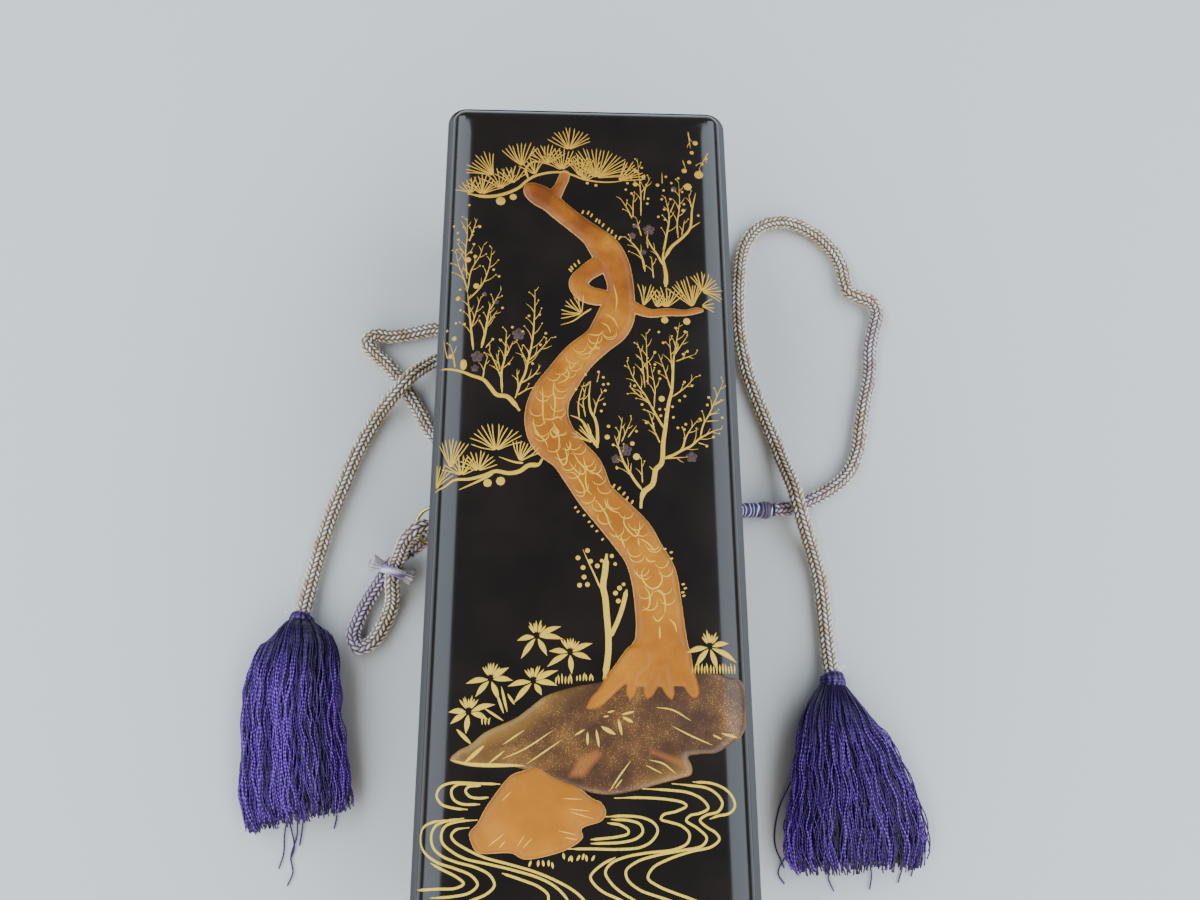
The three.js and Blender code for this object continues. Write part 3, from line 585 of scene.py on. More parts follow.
def pine_height(x, y):
    """Height of the raised pine over the lid."""
    height = edged(np.minimum(depth_in_limb(x, y, TRUNK), y - TRUNK_FOOT), TRUNK_RELIEF, TRUNK_EDGE)
    for limb in LIMBS:
        height = melted(height, edged(depth_in_limb(x, y, limb), BRANCH_RELIEF, LIMB_EDGE))
    for root in ROOTS:
        height = melted(height, edged(depth_in_limb(x, y, root), ROOT_RELIEF, LIMB_EDGE))
    lumps = np.sin(x * 1.3 + 1.3 * np.sin(y * 0.31)) * np.sin(y * 0.53 + 0.9 * np.sin(x * 0.7))
    knots = KNOT_RELIEF * lumps
    return height + np.where(height > 0.25, knots, 0)


# %% [markdown]
# ## The bank and the rock
# The bank is a low flat swelling with a firm edge, sprinkled with gold. The rock stands higher
# and has a few broad facets. Both have an outline with corners, as a brush with thick lacquer
# leaves them, and their height depends on how far inside the outline a point lies.


# %% Swellings inside outlines
def inside_by(x, y, outline):
    """How far inside a closed outline each place is, below 0 outside it."""
    ring = np.vstack([outline, outline[:1]])
    nearest = np.full(np.shape(x), 1e9)
    odd = np.zeros(np.shape(x), bool)
    for (ax, ay), (bx, by) in zip(ring, ring[1:]):
        length = max((bx - ax) ** 2 + (by - ay) ** 2, 1e-9)
        t = np.clip(((x - ax) * (bx - ax) + (y - ay) * (by - ay)) / length, 0, 1)
        nearest = np.minimum(nearest, np.hypot(x - ax - t * (bx - ax), y - ay - t * (by - ay)))
        crosses = (ay > y) != (by > y)
        odd ^= crosses & (x < (bx - ax) * (y - ay) / (by - ay + 1e-12) + ax)
    return np.where(odd, nearest, -nearest)


def closed_line(places, step):
    """A smooth closed outline through the places."""
    places = np.asarray(places, float)
    looped = smooth_line(np.vstack([places[-2:], places, places[:2]]), step)
    start = np.argmin(np.linalg.norm(looped - places[0], axis=1))
    end = len(looped) - 1 - np.argmin(np.linalg.norm(looped[::-1] - places[0], axis=1))
    return looped[start:end]


BANK_RELIEF = 0.8
BANK_EDGE = 2.2
BANK_ROLL = 0.07
ROCK_RELIEF = 1.7
ROCK_EDGE = 1.8
ROCK_SWELL_WIDTH = 9
BANK_OUTLINE = closed_line([
    [-38.2, -79.8], [-33.7, -81.3], [-26.6, -81.5], [-20.1, -81.8], [-10, -85.0], [1.3, -88.6], [7, -89.1],
    [14.1, -87.9], [19.9, -86.4], [25.6, -85], [29, -83.9], [29.1, -81.4], [28.1, -79.3], [31.3, -78.6],
    [36.3, -78.2], [40.6, -75.7], [43.2, -74.3], [45.4, -71], [45.6, -60.5], [44.0, -58.2], [41.0, -57.6],
    [36, -56.2], [30.9, -56], [16, -56.5], [4, -58.8], [-5.9, -60.7], [-12.3, -62.9], [-16.6, -66.1],
    [-20.1, -68.6], [-28.7, -72.5], [-32.6, -75.7], [-36.2, -77.5],
], 1.0)
ROCK_OUTLINE = closed_line([
    [-31.6, -101], [-29.8, -103.6], [-20.5, -103.9], [-17.3, -105.4], [-9.4, -104.3], [-4.4, -102.5],
    [-1.2, -100], [-1.6, -97.9], [4.1, -95.7], [5.1, -93.6], [3.8, -91.1], [1.3, -90], [-3.4, -86.4],
    [-6.6, -85.4], [-10, -83.6], [-13.7, -81.2], [-17.3, -82.5], [-21.2, -83.9], [-24.1, -87.1],
    [-28, -92.5], [-30.1, -96.4], [-32.1, -98.6],
], 1.0)


def bank_height(x, y):
    """Height of the bank: a rounded edge, then a flat that rolls a little."""
    depth = inside_by(x, y, BANK_OUTLINE)
    roll = BANK_ROLL * np.sin(x * 0.23 + 0.8) * np.sin(y * 0.41 + x * 0.06)
    return edged(depth, BANK_RELIEF, BANK_EDGE) + roll * np.clip(depth / 3, 0, 1)


def rock_height(x, y):
    """Height of the rock: a firm edge, a swelling, and broad shallow facets."""
    depth = inside_by(x, y, ROCK_OUTLINE)
    facets = 0.10 * np.sin(0.42 * x + 0.28 * y) + 0.08 * np.sin(0.55 * y - 0.2 * x + 1.0)
    swell = 0.5 * ROCK_RELIEF * (1 - (1 - np.clip(depth / ROCK_SWELL_WIDTH, 0, 1)) ** 2)
    inner = np.where(depth > 0, swell, 0) + facets * np.clip(depth / 4, 0, 1)
    return edged(depth, 0.5 * ROCK_RELIEF, ROCK_EDGE) + inner


def relief_at(x, y):
    """How far the raised lacquer stands over the lid, 0 where there is none."""
    x, y = np.asarray(x, float), np.asarray(y, float)
    return np.maximum.reduce([pine_height(x, y), bank_height(x, y), rock_height(x, y), np.zeros_like(x)])


# %% Sheets of raised lacquer
RELIEF_GRID = 0.4
RELIEF_ROOT = 0.5
SUNK = -0.35


def raised_sheet(name, height_of, low, high, material, marks_of=None):
    """A closed sheet over the part of a rectangle where the height is above the lid or just below it."""
    xs = np.arange(low[0], high[0], RELIEF_GRID)
    ys = np.arange(low[1], high[1], RELIEF_GRID)
    x, y = np.meshgrid(xs, ys, indexing="ij")
    height = height_of(x, y)
    quads = skin(x.shape, around=False)
    quads = quads[(height.reshape(-1)[quads] > SUNK).all(1)]
    used, numbers = np.unique(quads, return_inverse=True)
    quads = numbers.reshape(quads.shape)
    px, py, lift = (grid.reshape(-1)[used] for grid in (x, y, height))
    top = on_plan(px, py, np.maximum(lift, SUNK))
    bottom = on_plan(px, py, np.full_like(lift, SUNK - RELIEF_ROOT))
    edges = np.concatenate([quads[:, [i, (i + 1) % 4]] for i in range(4)])
    pairs = {tuple(edge) for edge in edges.tolist()}
    rim = np.array([edge for edge in pairs if edge[::-1] not in pairs])
    walls = np.stack([rim[:, 1], rim[:, 0], rim[:, 0] + len(used), rim[:, 1] + len(used)], 1)
    faces = np.vstack([quads, quads[:, ::-1] + len(used), walls])
    marks = {"relief": lift, **(marks_of(px, py) if marks_of else {})}
    return add_piece(name, np.vstack([top, bottom]), faces, material, marks={
        mark: np.concatenate([values, values]) for mark, values in marks.items()})


# %% [markdown]
# ## Ochre lacquer and gold
# The raised limbs and the rock are covered with ochre lacquer and rubbed down: a golden orange
# that shifts a little, with a soft gloss, painted lighter towards the near end as painted light.
# Where the edge turns down a pale line is painted, partly worn lacquer and partly a painted
# highlight on the bevel. The bank is brown lacquer with fine gold grains, golden along its upper
# edge and orange in two places.
# The lines are gold powder strewn on wet lacquer: metal, but matt, because each grain points its
# own way. Towards the near end the gold is painted lighter, as painted light.

# %% Ochre lacquer material
OCHRE_PATCH = 12
OCHRE_GRAIN = 0.7
OCHRE_FOOT_LIGHT_REACH = 100

ochre = new_material("ochre raised lacquer, rubbed down")
grains = mapped(ochre, cloudy(ochre, OCHRE_GRAIN, 3.0), (0.0, 1.0), (-0.1, 0.1))
tone = worked(ochre, "ADD", cloudy(ochre, OCHRE_PATCH, 3.0), grains)
tones = toned(ochre, tone, [(0.3, "#743600"), (0.5, "#9a5404"), (0.7, "#bc7614")])
# painted light: the ochre grows lighter towards the near end of the lid
foot_lit_ochre = blended(ochre, painted_foot_light(ochre, OCHRE_FOOT_LIGHT_REACH, 0.55), tones, "#c87c14")
# painted highlight and wear: the colour goes pale where the relief is low, on the rounded edge, partly rubbed
# lacquer and partly a painted highlight on the bevel
worn = mapped(ochre, mark_of(ochre, "relief"), (0.08, 0.36), (0.75, 0.0))
finished(ochre, {
    "Base Color": blended(ochre, worn, foot_lit_ochre, "#e6b568"), "Roughness": 0.5, "IOR": 1.5,
    "Specular IOR Level": 0.3, "Normal": bumpy(ochre, tone, 0.2, 0.2),
    "Coat Weight": 0.1, "Coat Roughness": 0.18})

# %% Bank material
FLAKE = 0.5
BANK_CLOUD = 8

bank_lacquer = new_material("brown lacquer strewn with gold grains")
cloud = cloudy(bank_lacquer, BANK_CLOUD, 4.0)
place = add_node(bank_lacquer, "TexCoord").outputs["Object"]
flakes = add_node(bank_lacquer, "TexVoronoi", {"Vector": place, "Scale": 1 / (FLAKE * MM)})
flake_size = mapped(bank_lacquer, cloud, (0.35, 0.7), (0.12, 0.34))
is_flake = worked(bank_lacquer, "LESS_THAN", flakes.outputs["Distance"], flake_size)
browns = toned(bank_lacquer, cloud, [(0.35, "#432610"), (0.52, "#5c391a"), (0.7, "#7c5126")])
rimmed = blended(bank_lacquer, mark_of(bank_lacquer, "rim"), browns, "#a87a26")
warmed = blended(bank_lacquer, mark_of(bank_lacquer, "warm"), rimmed, "#a8622a")
finished(bank_lacquer, {
    "Base Color": blended(bank_lacquer, is_flake, warmed, "#bd9140"),
    "Metallic": worked(bank_lacquer, "MULTIPLY", is_flake, 0.5), "Roughness": 0.4, "IOR": 1.5,
    "Coat Weight": 0.15, "Coat Roughness": 0.15})

# %% Gold powder material
GOLD_GRAIN = 0.25
GOLD_FOOT_LIGHT_REACH = 120

gold = new_material("gold powder strewn on lacquer")
grain = cloudy(gold, GOLD_GRAIN, 2.0)
# painted light: the gold tone rises with its grain and, towards the near end, with painted light
strewn = worked(gold, "ADD", mapped(gold, grain, (0.3, 0.7), (0.0, 0.5)), painted_foot_light(gold, GOLD_FOOT_LIGHT_REACH, 0.45))
finished(gold, {
    "Base Color": toned(gold, strewn, [(0.0, "#b5841f"), (0.4, "#dba935"), (0.95, "#ffe552")]),
    "Metallic": 0.25, "Roughness": 0.5, "Normal": bumpy(gold, grain, 0.4, 0.05)})


# %% Raised pine, bank and rock
WARM_PATCHES = [[(-6, -85), (-3, -79), (3, -76.5), (4.5, -79), (-1, -85)],
                [(17, -76.5), (22, -78), (27, -80), (28.5, -83.5), (17, -78.5)]]


def bank_marks(x, y):
    """Where the bank is golden, along its upper left edge and its lower right, and where it is orange."""
    depth = inside_by(x, y, BANK_OUTLINE)
    leftwards = np.clip((2 - x) / 26, 0, 1) * np.clip((y + 83) / 8, 0, 1)
    lower_right = np.clip((x - 12) / 10, 0, 1) * np.clip((-77 - y) / 4, 0, 1) * 0.6
    rim = np.clip(1 - depth / 6, 0, 1) * np.maximum(leftwards, lower_right)
    warm = np.maximum(*[np.clip(inside_by(x, y, np.array(patch)) / 1.5, 0, 1) for patch in WARM_PATCHES])
    return {"rim": 0.8 * rim, "warm": 0.75 * warm}


raised_sheet("raised_pine", pine_height, (-24, -68), (39, 111), ochre)
raised_sheet("raised_bank", bank_height, (-40, -91), (46, -54), bank_lacquer, bank_marks)
raised_sheet("raised_rock", rock_height, (-34, -108), (7, -79), ochre)

# %% [markdown]
# ## Drawing with gold
# Each line of the picture is one stroke of a fine brush: it swells, thins out and stands a
# tenth of a millimetre proud. `stroke` makes one as a low closed ridge on the lacquer, raised or
# not. The plants are drawn from places on the unrolled top: a row is a half width and then u
# and v of each place the brush passes.


# %% Brush strokes
STROKE_STEP = 0.7
STROKE_LIFT = 0.09
STROKE_BED = 0.06
STROKE_THINNEST = 0.07
DROP_CORNERS = 8


def stroke(places, half_width, taper="both", lift=STROKE_LIFT):
    """One brush stroke along unrolled places. `taper` says which ends run out to a point."""
    line = smooth_line(places, STROKE_STEP)
    if len(line) < 6:
        line = smooth_line(places, run_length(line)[-1] / 6 + 1e-6)
    share = run_length(line)
    share = share / max(share[-1], 1e-6)
    swell = {
        "both": np.sin(np.pi * np.clip(share, 0.02, 0.98)) ** 0.6,
        "leaf": np.sin(np.pi * np.clip(share, 0.03, 0.97) ** 0.85),
        "end": np.sqrt(np.clip(1.02 - share, 0, 1)) * np.clip(share * 12, 0.5, 1),
        "none": np.clip(np.minimum(share, 1 - share) * 14, 0.45, 1),
    }[taper]
    ahead = np.gradient(line, axis=0)
    ahead /= np.linalg.norm(ahead, axis=1)[:, None] + 1e-9
    side = np.stack([ahead[:, 1], -ahead[:, 0]], 1)
    width = np.maximum(half_width * swell, STROKE_THINNEST)[:, None]
    spots = np.stack([line + side * width * k for k in (-1, -0.5, 0.5, 1)], 1).reshape(-1, 2)
    lifts = np.broadcast_to([-STROKE_BED, lift, lift, -STROKE_BED], (len(line), 4)) * 1.0
    lifts[[0, -1]] = np.minimum(lifts[[0, -1]], lift * 0.3)
    x = across_to_x(spots[:, 0])
    points = on_plan(x, spots[:, 1], lifts.reshape(-1) + relief_at(x, spots[:, 1]))
    return points, capped((len(line), 4))


def strokes(rows, taper="end"):
    """Strokes from rows of numbers: a half width, then u and v of each place."""
    return [stroke(np.reshape(row[1:], (-1, 2)), row[0], taper) for row in rows]


def dots(rows, radius=0.5, long=1.0, lift=0.14):
    """Small drops of gold, from rows of u, v and, where it isn't the usual one, a radius."""
    angle = 2 * np.pi * np.arange(DROP_CORNERS) / DROP_CORNERS
    parts = []
    for u, v, *own in rows:
        size = own[0] if own else radius
        spots = np.array([[u + size * k * np.cos(a), v + long * size * k * np.sin(a), z]
                          for k, z in ((1.0, -STROKE_BED), (0.85, lift * 0.6), (0.45, lift)) for a in angle])
        x = across_to_x(spots[:, 0])
        parts.append((on_plan(x, spots[:, 1], spots[:, 2] + relief_at(x, spots[:, 1])),
                      capped((3, len(angle)))))
    return parts


def add_gold(name, parts, material=None):
    """Joins strokes to one piece of the picture."""
    points, faces = joined(parts)
    return add_piece(name, points, faces, material or gold)


rng = np.random.default_rng(7)


def wander(amount):
    """A small random shift."""
    return rng.uniform(-amount, amount)


def heading(degrees):
    """The direction of an angle in the picture."""
    return np.array([math.cos(math.radians(degrees)), math.sin(math.radians(degrees))])


# %% [markdown]
# ### Pine needles
# The needles stand in fans: each fan is a hub on a bough with eight to twenty needles between
# two directions, all about as long, and with air between them. Neighbouring fans cross each
# other, so that a bough looks like a row of half suns. A fan is its hub, its reach, its first and
# last direction in degrees, and how many needles it has.


# %% Pine fans
NEEDLE_HALF = 0.23


def pine_fan(u, v, reach, first, last, count):
    """Needles from one hub, each with a slight bend."""
    needles = []
    hub = np.array([u, v])
    for direction in np.linspace(first, last, count + count // 5):
        along = heading(direction + wander(1.5))
        square = np.array([-along[1], along[0]])
        far = reach * rng.uniform(0.88, 1.04)
        places = [hub + along * 0.4, hub + along * far * 0.55 + square * wander(0.35), hub + along * far]
        needles.append(stroke(places, NEEDLE_HALF, "none"))
    return needles


FANS = [
    (-35, 99.2, 7.5, 20, 150, 10), (-31.4, 106.5, 9.8, 92, 175, 9), (-25, 103.4, 7, 40, 150, 8),
    (-21.9, 110.2, 9.5, 55, 140, 9), (-13.5, 111.3, 7.5, 35, 160, 11), (-6.1, 117, 8.8, 25, 150, 11),
    (-8.5, 109, 8.5, 40, 140, 9), (3.2, 106.2, 12.5, 2, 150, 18), (-17.5, 107, 6.5, 60, 150, 6),
    (10.5, 105.2, 9, 5, 75, 8), (-38.5, 99.4, 6.5, 60, 160, 6), (-2.5, 106.6, 8, 60, 130, 6),
    (-27.8, 10, 9, 20, 165, 12), (-20.5, 6.5, 7, 25, 110, 8), (-41.5, 4.4, 9.5, 55, 120, 8),
    (-33, 3.5, 6.5, 20, 165, 10), (-38, 2, 7, 30, 160, 9), (-47, -1.5, 8, 30, 100, 6),
    (-1.8, 56, 6.6, 85, 195, 8), (1.6, 12.6, 6.8, 105, 165, 6), (18.0, 59.0, 8, 52, 102, 5),
    (22.3, 58.6, 6, 30, 110, 5), (25.4, 58.6, 7.5, 40, 140, 8), (34.0, 59.0, 11, 98, 140, 6),
    (34.0, 59.2, 8, 62, 96, 5), (37.2, 64.5, 7.2, -25, 125, 12), (36.8, 59.4, 5, -25, 35, 4),
    (-29, 101.5, 8, 30, 150, 7), (-1, 104.8, 9.5, 30, 120, 7),
]
add_gold("gold_pine_needles", [needle for fan in FANS for needle in pine_fan(*fan)])

# %% Pine boughs and cones
boughs = strokes([
    [0.8, -39.8, 99.4, -34.8, 98.4, -30.6, 98.6, -26.4, 99.9, -22.7, 102, -20.6, 104.2, -17.9, 106.3,
     -13.2, 107.8, -9, 108.1, -5.3, 107.3, -1.6, 105.7, 3.6, 104.7, 8.4, 104.7, 13.9, 105.7],
    [0.6, -19.8, 105.5, -20.6, 109.2, -18, 112, -14, 111.5, -11.5, 110.5, -9, 109],
    [0.95, -13.7, 7.5, -14.8, 5.6, -17.8, 5.3, -20.6, 3.4, -23.7, 2.8, -27.8, 3.4, -30.9, 2.2, -35.6, 0.9,
     -40.2, 0.6, -43.4, -1.3, -49, -2.5],
    [0.5, -19.5, 6, -22.1, 6.3, -27, 8], [0.6, -28.5, 2.6, -33.4, 0, -38.7, -2.5],
    [0.45, 1.3, 57.8, -1.5, 55.8, -4.5, 53.4, -8.6, 51.9],
])
cones = dots([
    (-28.7, 96.7, 1.75), (-24.6, 98.3, 1.3), (0, 104.1, 0.6), (2.9, 103.3, 0.6), (37.7, 108.3, 1.7),
    (33.8, 103.5, 1.5), (36.9, 120.7, 1.0), (35.6, 116.9, 0.8), (34.6, 113.1, 0.8), (32.8, 109.7, 1.0),
    (24.8, 54.2, 1.3), (31.9, 53.9, 1.3), (-30.1, -0.3, 1.4), (-26.2, 0.3, 1.5),
])
add_gold("gold_boughs_and_cones", boughs + cones)

# %% [markdown]
# ### Plum twigs
# A plum twig is a thick crooked stroke with straight thin shoots that all strive upwards, and
# buds like small drops scattered beside them. Five plants stand in the picture. Each list below
# is one plant: its thick wood first, then its shoots, then its buds.

# %% Plum at the top right
SPRIG_GAP = 2.5
SPRIG_HALF = 0.2
SPRIG_ANGLE = 34
SPRIG_LONGEST = 5.2
SPRIG_EDGE = 45
BARE_WOOD = 0.62


def twigs(rows):
    """Twigs as strokes, with short side sprigs that end in buds along the thinner ones."""
    made = strokes([[half_width * (0.8 if half_width < 0.5 else 1), *flat] for half_width, *flat in rows])
    buds = []
    for half_width, *flat in rows:
        line = smooth_line(np.array(flat, float).reshape(-1, 2), 0.8)
        walked = run_length(line)
        if half_width > BARE_WOOD or walked[-1] < 5:
            continue
        ahead = np.gradient(line, axis=0)
        for number, at in enumerate(np.arange(0.25 * walked[-1], walked[-1], SPRIG_GAP)):
            here = min(np.searchsorted(walked, at), len(line) - 1)
            bearing = math.degrees(math.atan2(ahead[here, 1], ahead[here, 0]))
            direction = bearing + (SPRIG_ANGLE + wander(9)) * (-1) ** number
            reach = min(1.6 + 0.28 * (walked[-1] - at), SPRIG_LONGEST) * rng.uniform(0.7, 1.15)
            end = line[here] + heading(direction) * reach
            middle = line[here] + heading(direction - 8) * reach * 0.5
            if relief_at(across_to_x(end[:1]), end[1:])[0] > 0.02 or abs(end[0]) > SPRIG_EDGE:
                continue
            made.append(stroke([line[here], middle, end], SPRIG_HALF, "end"))
            if rng.uniform() < 0.5:
                buds.append(tuple(end))
    return made + dots(buds, 0.3)


plums = twigs([
    [1.0, 25.4, 66, 25.6, 70.5, 24.8, 76.4, 25.2, 80.0],
    [0.75, 25.2, 76, 27.6, 80.5, 31.6, 84.4, 34, 87.6, 35, 94.9, 36.4, 101.3],
    [0.5, 24.8, 78, 26, 84, 27.2, 92, 26, 99.7], [0.5, 24.6, 74, 22.8, 78.0, 21.2, 80.4, 19.4, 84.5],
    [0.4, 34.6, 125.2, 35.2, 118.6], [0.4, 41.3, 117.3, 38.1, 111], [0.35, 32.4, 113.8, 33.3, 110.5],
    [0.4, 17.8, 92, 17.9, 100, 17.4, 108, 16.9, 114.2], [0.4, 14.8, 91, 13.4, 94.4, 11, 98.6],
    [0.35, 15.2, 91.5, 15.3, 97, 15.9, 101], [0.35, 18.9, 98, 19.5, 102.5, 21.3, 107],
    [0.3, 25.2, 104.5, 25.2, 108.9], [0.4, 34.8, 95.5, 34, 100.7], [0.45, 34, 87.6, 37.6, 90.2],
    [0.35, 27.6, 93.5, 29.4, 98], [0.4, 30, 84, 29.8, 89, 30.8, 96, 30.8, 104.9],
    [0.5, 18.8, 71.4, 17.9, 76.4, 15.8, 80.5, 12.2, 84.3], [0.4, 21.5, 69.1, 21, 76.8],
    [0.35, 19.9, 80, 19.5, 84.5], [0.35, 17.8, 84.5, 16.3, 91], [0.35, 31.2, 85, 32.4, 91],
])
plums += dots([
    (18.4, 110.5), (16.3, 109.2, 0.8), (18.9, 107, 0.8), (26.5, 107.2), (30.7, 106.7), (23.6, 103.9, 0.7),
    (28.3, 104.8), (25.6, 101.9), (28.6, 102), (31.8, 101.5), (13.5, 104.4), (12.9, 101.9), (14.8, 100.5),
    (16.1, 104, 0.9), (20.3, 98.6), (20, 96.7), (24.9, 98.5), (27.8, 98.6), (32.3, 96.8), (32, 94.4, 0.7),
    (25.6, 94.6), (30.7, 96), (23.6, 91.8), (25.8, 90.8), (37.0, 92.6), (39.0, 112.4), (40.6, 114.8),
])

# %% Plum at the left
plums += twigs([
    [0.5, -35.9, 43.1, -36.8, 50, -37.8, 57.5, -38.4, 63.1], [0.35, -36.7, 51, -35.6, 55.6, -34, 61.9],
    [0.4, -38, 60.5, -34, 65.6, -31.8, 71.9, -31.1, 78.8],
    [0.4, -38.4, 64, -37.5, 71, -34.9, 76.3, -33.8, 80.3],
    [0.4, -38.4, 63.5, -39.6, 67.5, -41.8, 73.1, -43.1, 78.8], [0.35, -39.9, 77, -43, 81.8],
    [0.4, -38.8, 68, -39.6, 76.9, -39.3, 83.8, -39.6, 90.6], [0.35, -38.5, 81.5, -36.2, 90],
    [0.3, -39.8, 86, -41.6, 89.4], [0.6, -33.4, 43.8, -32.3, 49.4, -31.6, 55, -30.9, 59.4],
    [0.35, -32.8, 50, -34.3, 53.8], [0.35, -32, 44, -29.6, 47.2], [0.35, -31.6, 52, -28.7, 56.9],
    [0.35, -31, 57, -27.8, 63.8],
])
plums += dots([
    (-38.7, 74.8, 1.1), (-36.4, 76, 0.7), (-35.7, 65.4, 1.1), (-40.9, 64.2), (-41.5, 61.1, 0.9),
    (-40.5, 56.9), (-41.8, 52.5), (-42.2, 47.2, 0.9), (-39, 52), (-44.2, 87.8), (-42.6, 85), (-42.3, 82.5),
    (-35.3, 87, 0.6), (-37.4, 85.2), (-37, 80.5), (-37.8, 77.5), (-39, 95), (-39.3, 71.2), (-28.5, 68.9),
    (-30.3, 71.3), (-27.1, 57.7),
])

# %% Plum over the left bough
plums += twigs([
    [1.0, -20.9, 22.8, -22.7, 25.3, -24.9, 27.5, -28.1, 28.1, -30.2, 30.6, -32.4, 33.1, -35.9, 34.4, -39.6,
     35.9, -44.6, 37.2, -48.5, 38],
    [0.5, -26.5, 28.8, -26.8, 36, -25.9, 40.6, -25.6, 50], [0.45, -26.6, 33, -28.6, 38, -31.2, 43.4],
    [0.35, -27.3, 36.5, -28.7, 42], [0.35, -25.5, 41, -23.4, 46.3],
    [0.5, -22.4, 26.9, -20.9, 31.9, -19.6, 35, -18.4, 40.6, -17.4, 46.3, -17, 51.3, -16.8, 61.3, -16.9,
     64.4],
    [0.45, -20.5, 32, -16.5, 35, -14.6, 38.1], [0.4, -18.6, 39.5, -15.5, 42.5, -11.5, 47.5],
    [0.35, -18, 42, -20.2, 45], [0.35, -19, 39, -22.1, 45.6], [0.4, -21.5, 30.5, -22.1, 36.9],
    [0.4, -21.8, 28, -17.8, 30.3, -15.5, 30.5], [0.4, -32.6, 33.6, -32.1, 37.5, -31.2, 41.3],
    [0.4, -41.5, 37.3, -42.4, 41.9, -43.5, 45.5], [0.35, -44.3, 40.6, -46.8, 48.1],
])
plums += dots([(-38.8, 38.1, 1.2)], long=1.7) + dots([
    (-43.3, 41.3, 0.9), (-20.5, 49.5), (-14.8, 45), (-13.2, 49), (-18.6, 55), (-15.2, 55.5), (-23.8, 51),
    (-27.4, 46.5), (-24.6, 38.5), (-17.2, 38.6), (-29.9, 46.8), (-45.0, 50.4),
])

# %% Small plum in the middle
plums += twigs([
    [0.75, 3.1, 11, 0.5, 16, -2, 20, -5.3, 21.5],
    [0.7, 3.1, 11, 3, 17.5, 2.3, 20.5, 1, 23, 0.5, 27.5, 1, 32.5], [0.4, 2, 21.5, 2.8, 25, 4, 28, 5.3, 30],
    [0.3, 3, 32.5, 3.8, 36], [0.4, -2.5, 20.5, -2.8, 25, -2.3, 28, -1, 32.5],
    [0.35, -0.6, 21, -1.3, 26, -0.2, 32],
])
plums += dots([(6.5, 32), (5, 31.8), (5.6, 29.8), (5, 34.2), (5.3, 25.2), (4.3, 23), (3.5, 36), (-3.6, 30),
               (-0.6, 35)])

# %% Large plum at the right
plums += twigs([
    [1.1, 16.1, -8, 16.2, -6, 17, -3, 19.7, -0.5, 20.4, 2, 20.8, 4.2, 22.5, 6, 23, 7.8, 23.3, 12.5, 24, 17,
     24.7, 22, 25.4, 26, 26.3, 29.5, 26.7, 32.5, 27.1, 38, 27.5, 42, 29, 46],
    [0.5, 24, 17, 21.5, 21.5, 20.5, 23.5, 18.8, 26.3, 15.5, 28.8, 13, 31.5],
    [0.4, 20.3, 24, 18, 28.5, 16, 31.5, 14.3, 34.5, 12.3, 40],
    [0.35, 20.8, 24.5, 21, 28, 21.2, 30, 20, 38.5], [0.35, 19, 32, 18.8, 41.5, 18.7, 50],
    [0.35, 18, 31, 17, 42, 15.8, 46.5], [0.35, 26.3, 30, 24, 38, 22.5, 42.5], [0.35, 26.8, 36, 26.1, 48.5],
    [0.35, 27.3, 41, 29.6, 53.5], [0.35, 27.5, 42, 32.2, 49.2], [0.35, 28, 40, 34.2, 42.5],
    [0.4, 26.5, 28, 30.5, 31, 34, 34.8],
    [0.6, 16.8, -2.5, 14.5, 0.5, 13, 3, 11.3, 6, 10.5, 8, 9.3, 12, 8.3, 15], [0.35, 9.5, 12, 10.9, 21],
    [0.35, 10.5, 13, 13.5, 20], [0.35, 12.5, 14.5, 15.3, 18.5], [0.35, 16.7, 0, 16.5, 8],
    [0.35, 13, 3, 13.4, 6.2], [0.45, 23, 7.8, 30.3, 8.3],
    [0.6, 23, 7.8, 26, 8.8, 29, 10.5, 32, 12, 34.5, 14.3, 36.5, 15.5, 40, 17.3, 42, 17.8],
    [0.45, 34.8, 14.4, 36, 19, 38, 22.5, 40, 27, 43, 33.3], [0.35, 38.2, 22.5, 41.4, 23],
    [0.35, 39.6, 25.5, 43.5, 28], [0.35, 37, 20, 41, 20.5],
    [0.4, 29.2, 10.5, 30.5, 14.8, 32, 17.5, 34.8, 21], [0.35, 34.2, 13, 37, 12.2],
    [0.35, 20.6, 3.6, 18.8, 5.3], [0.4, 22.3, 12.8, 20.5, 17, 18.6, 20],
    [0.35, 21, 15.5, 20, 20, 18.8, 23.5],
])
plums += dots([
    (15, 8.3, 1.2), (6.5, 18, 0.6), (6.1, 14.5, 0.9), (7.9, 12), (13.8, 12.5, 0.8), (15.1, 16.5), (9, 4.6),
    (23.2, 27.3, 1.1), (22.5, 23.8), (24.3, 23.8), (22.8, 21.7), (26.7, 21.2), (26.5, 24.7), (28.8, 26.8),
    (30.5, 28.3), (32.8, 31.8), (30.5, 33), (17, 25.3), (14.8, 31.5), (17, 37), (21.3, 38.8), (22.6, 36.5),
    (22.8, 34), (21.4, 43), (24.1, 46.3), (28.4, 51.5), (31.2, 50.3), (30.4, 42.5), (31.8, 43.5),
    (18.2, 19.3), (28, 17.8), (30, 17.3), (30.5, 19), (35, 20.8), (39, 15), (36.8, 12), (42.2, 21.6),
    (38, 28), (37.5, 25.5), (22.8, 50),
])
add_gold("gold_plum_twigs", plums)

# %% [markdown]
# ### Faded blossoms
# A few open blossoms were painted in red lacquer, which has faded to a dull brown that hardly
# shows on the black.

# %% Faded blossoms
PIGMENT_GRAIN = 0.8

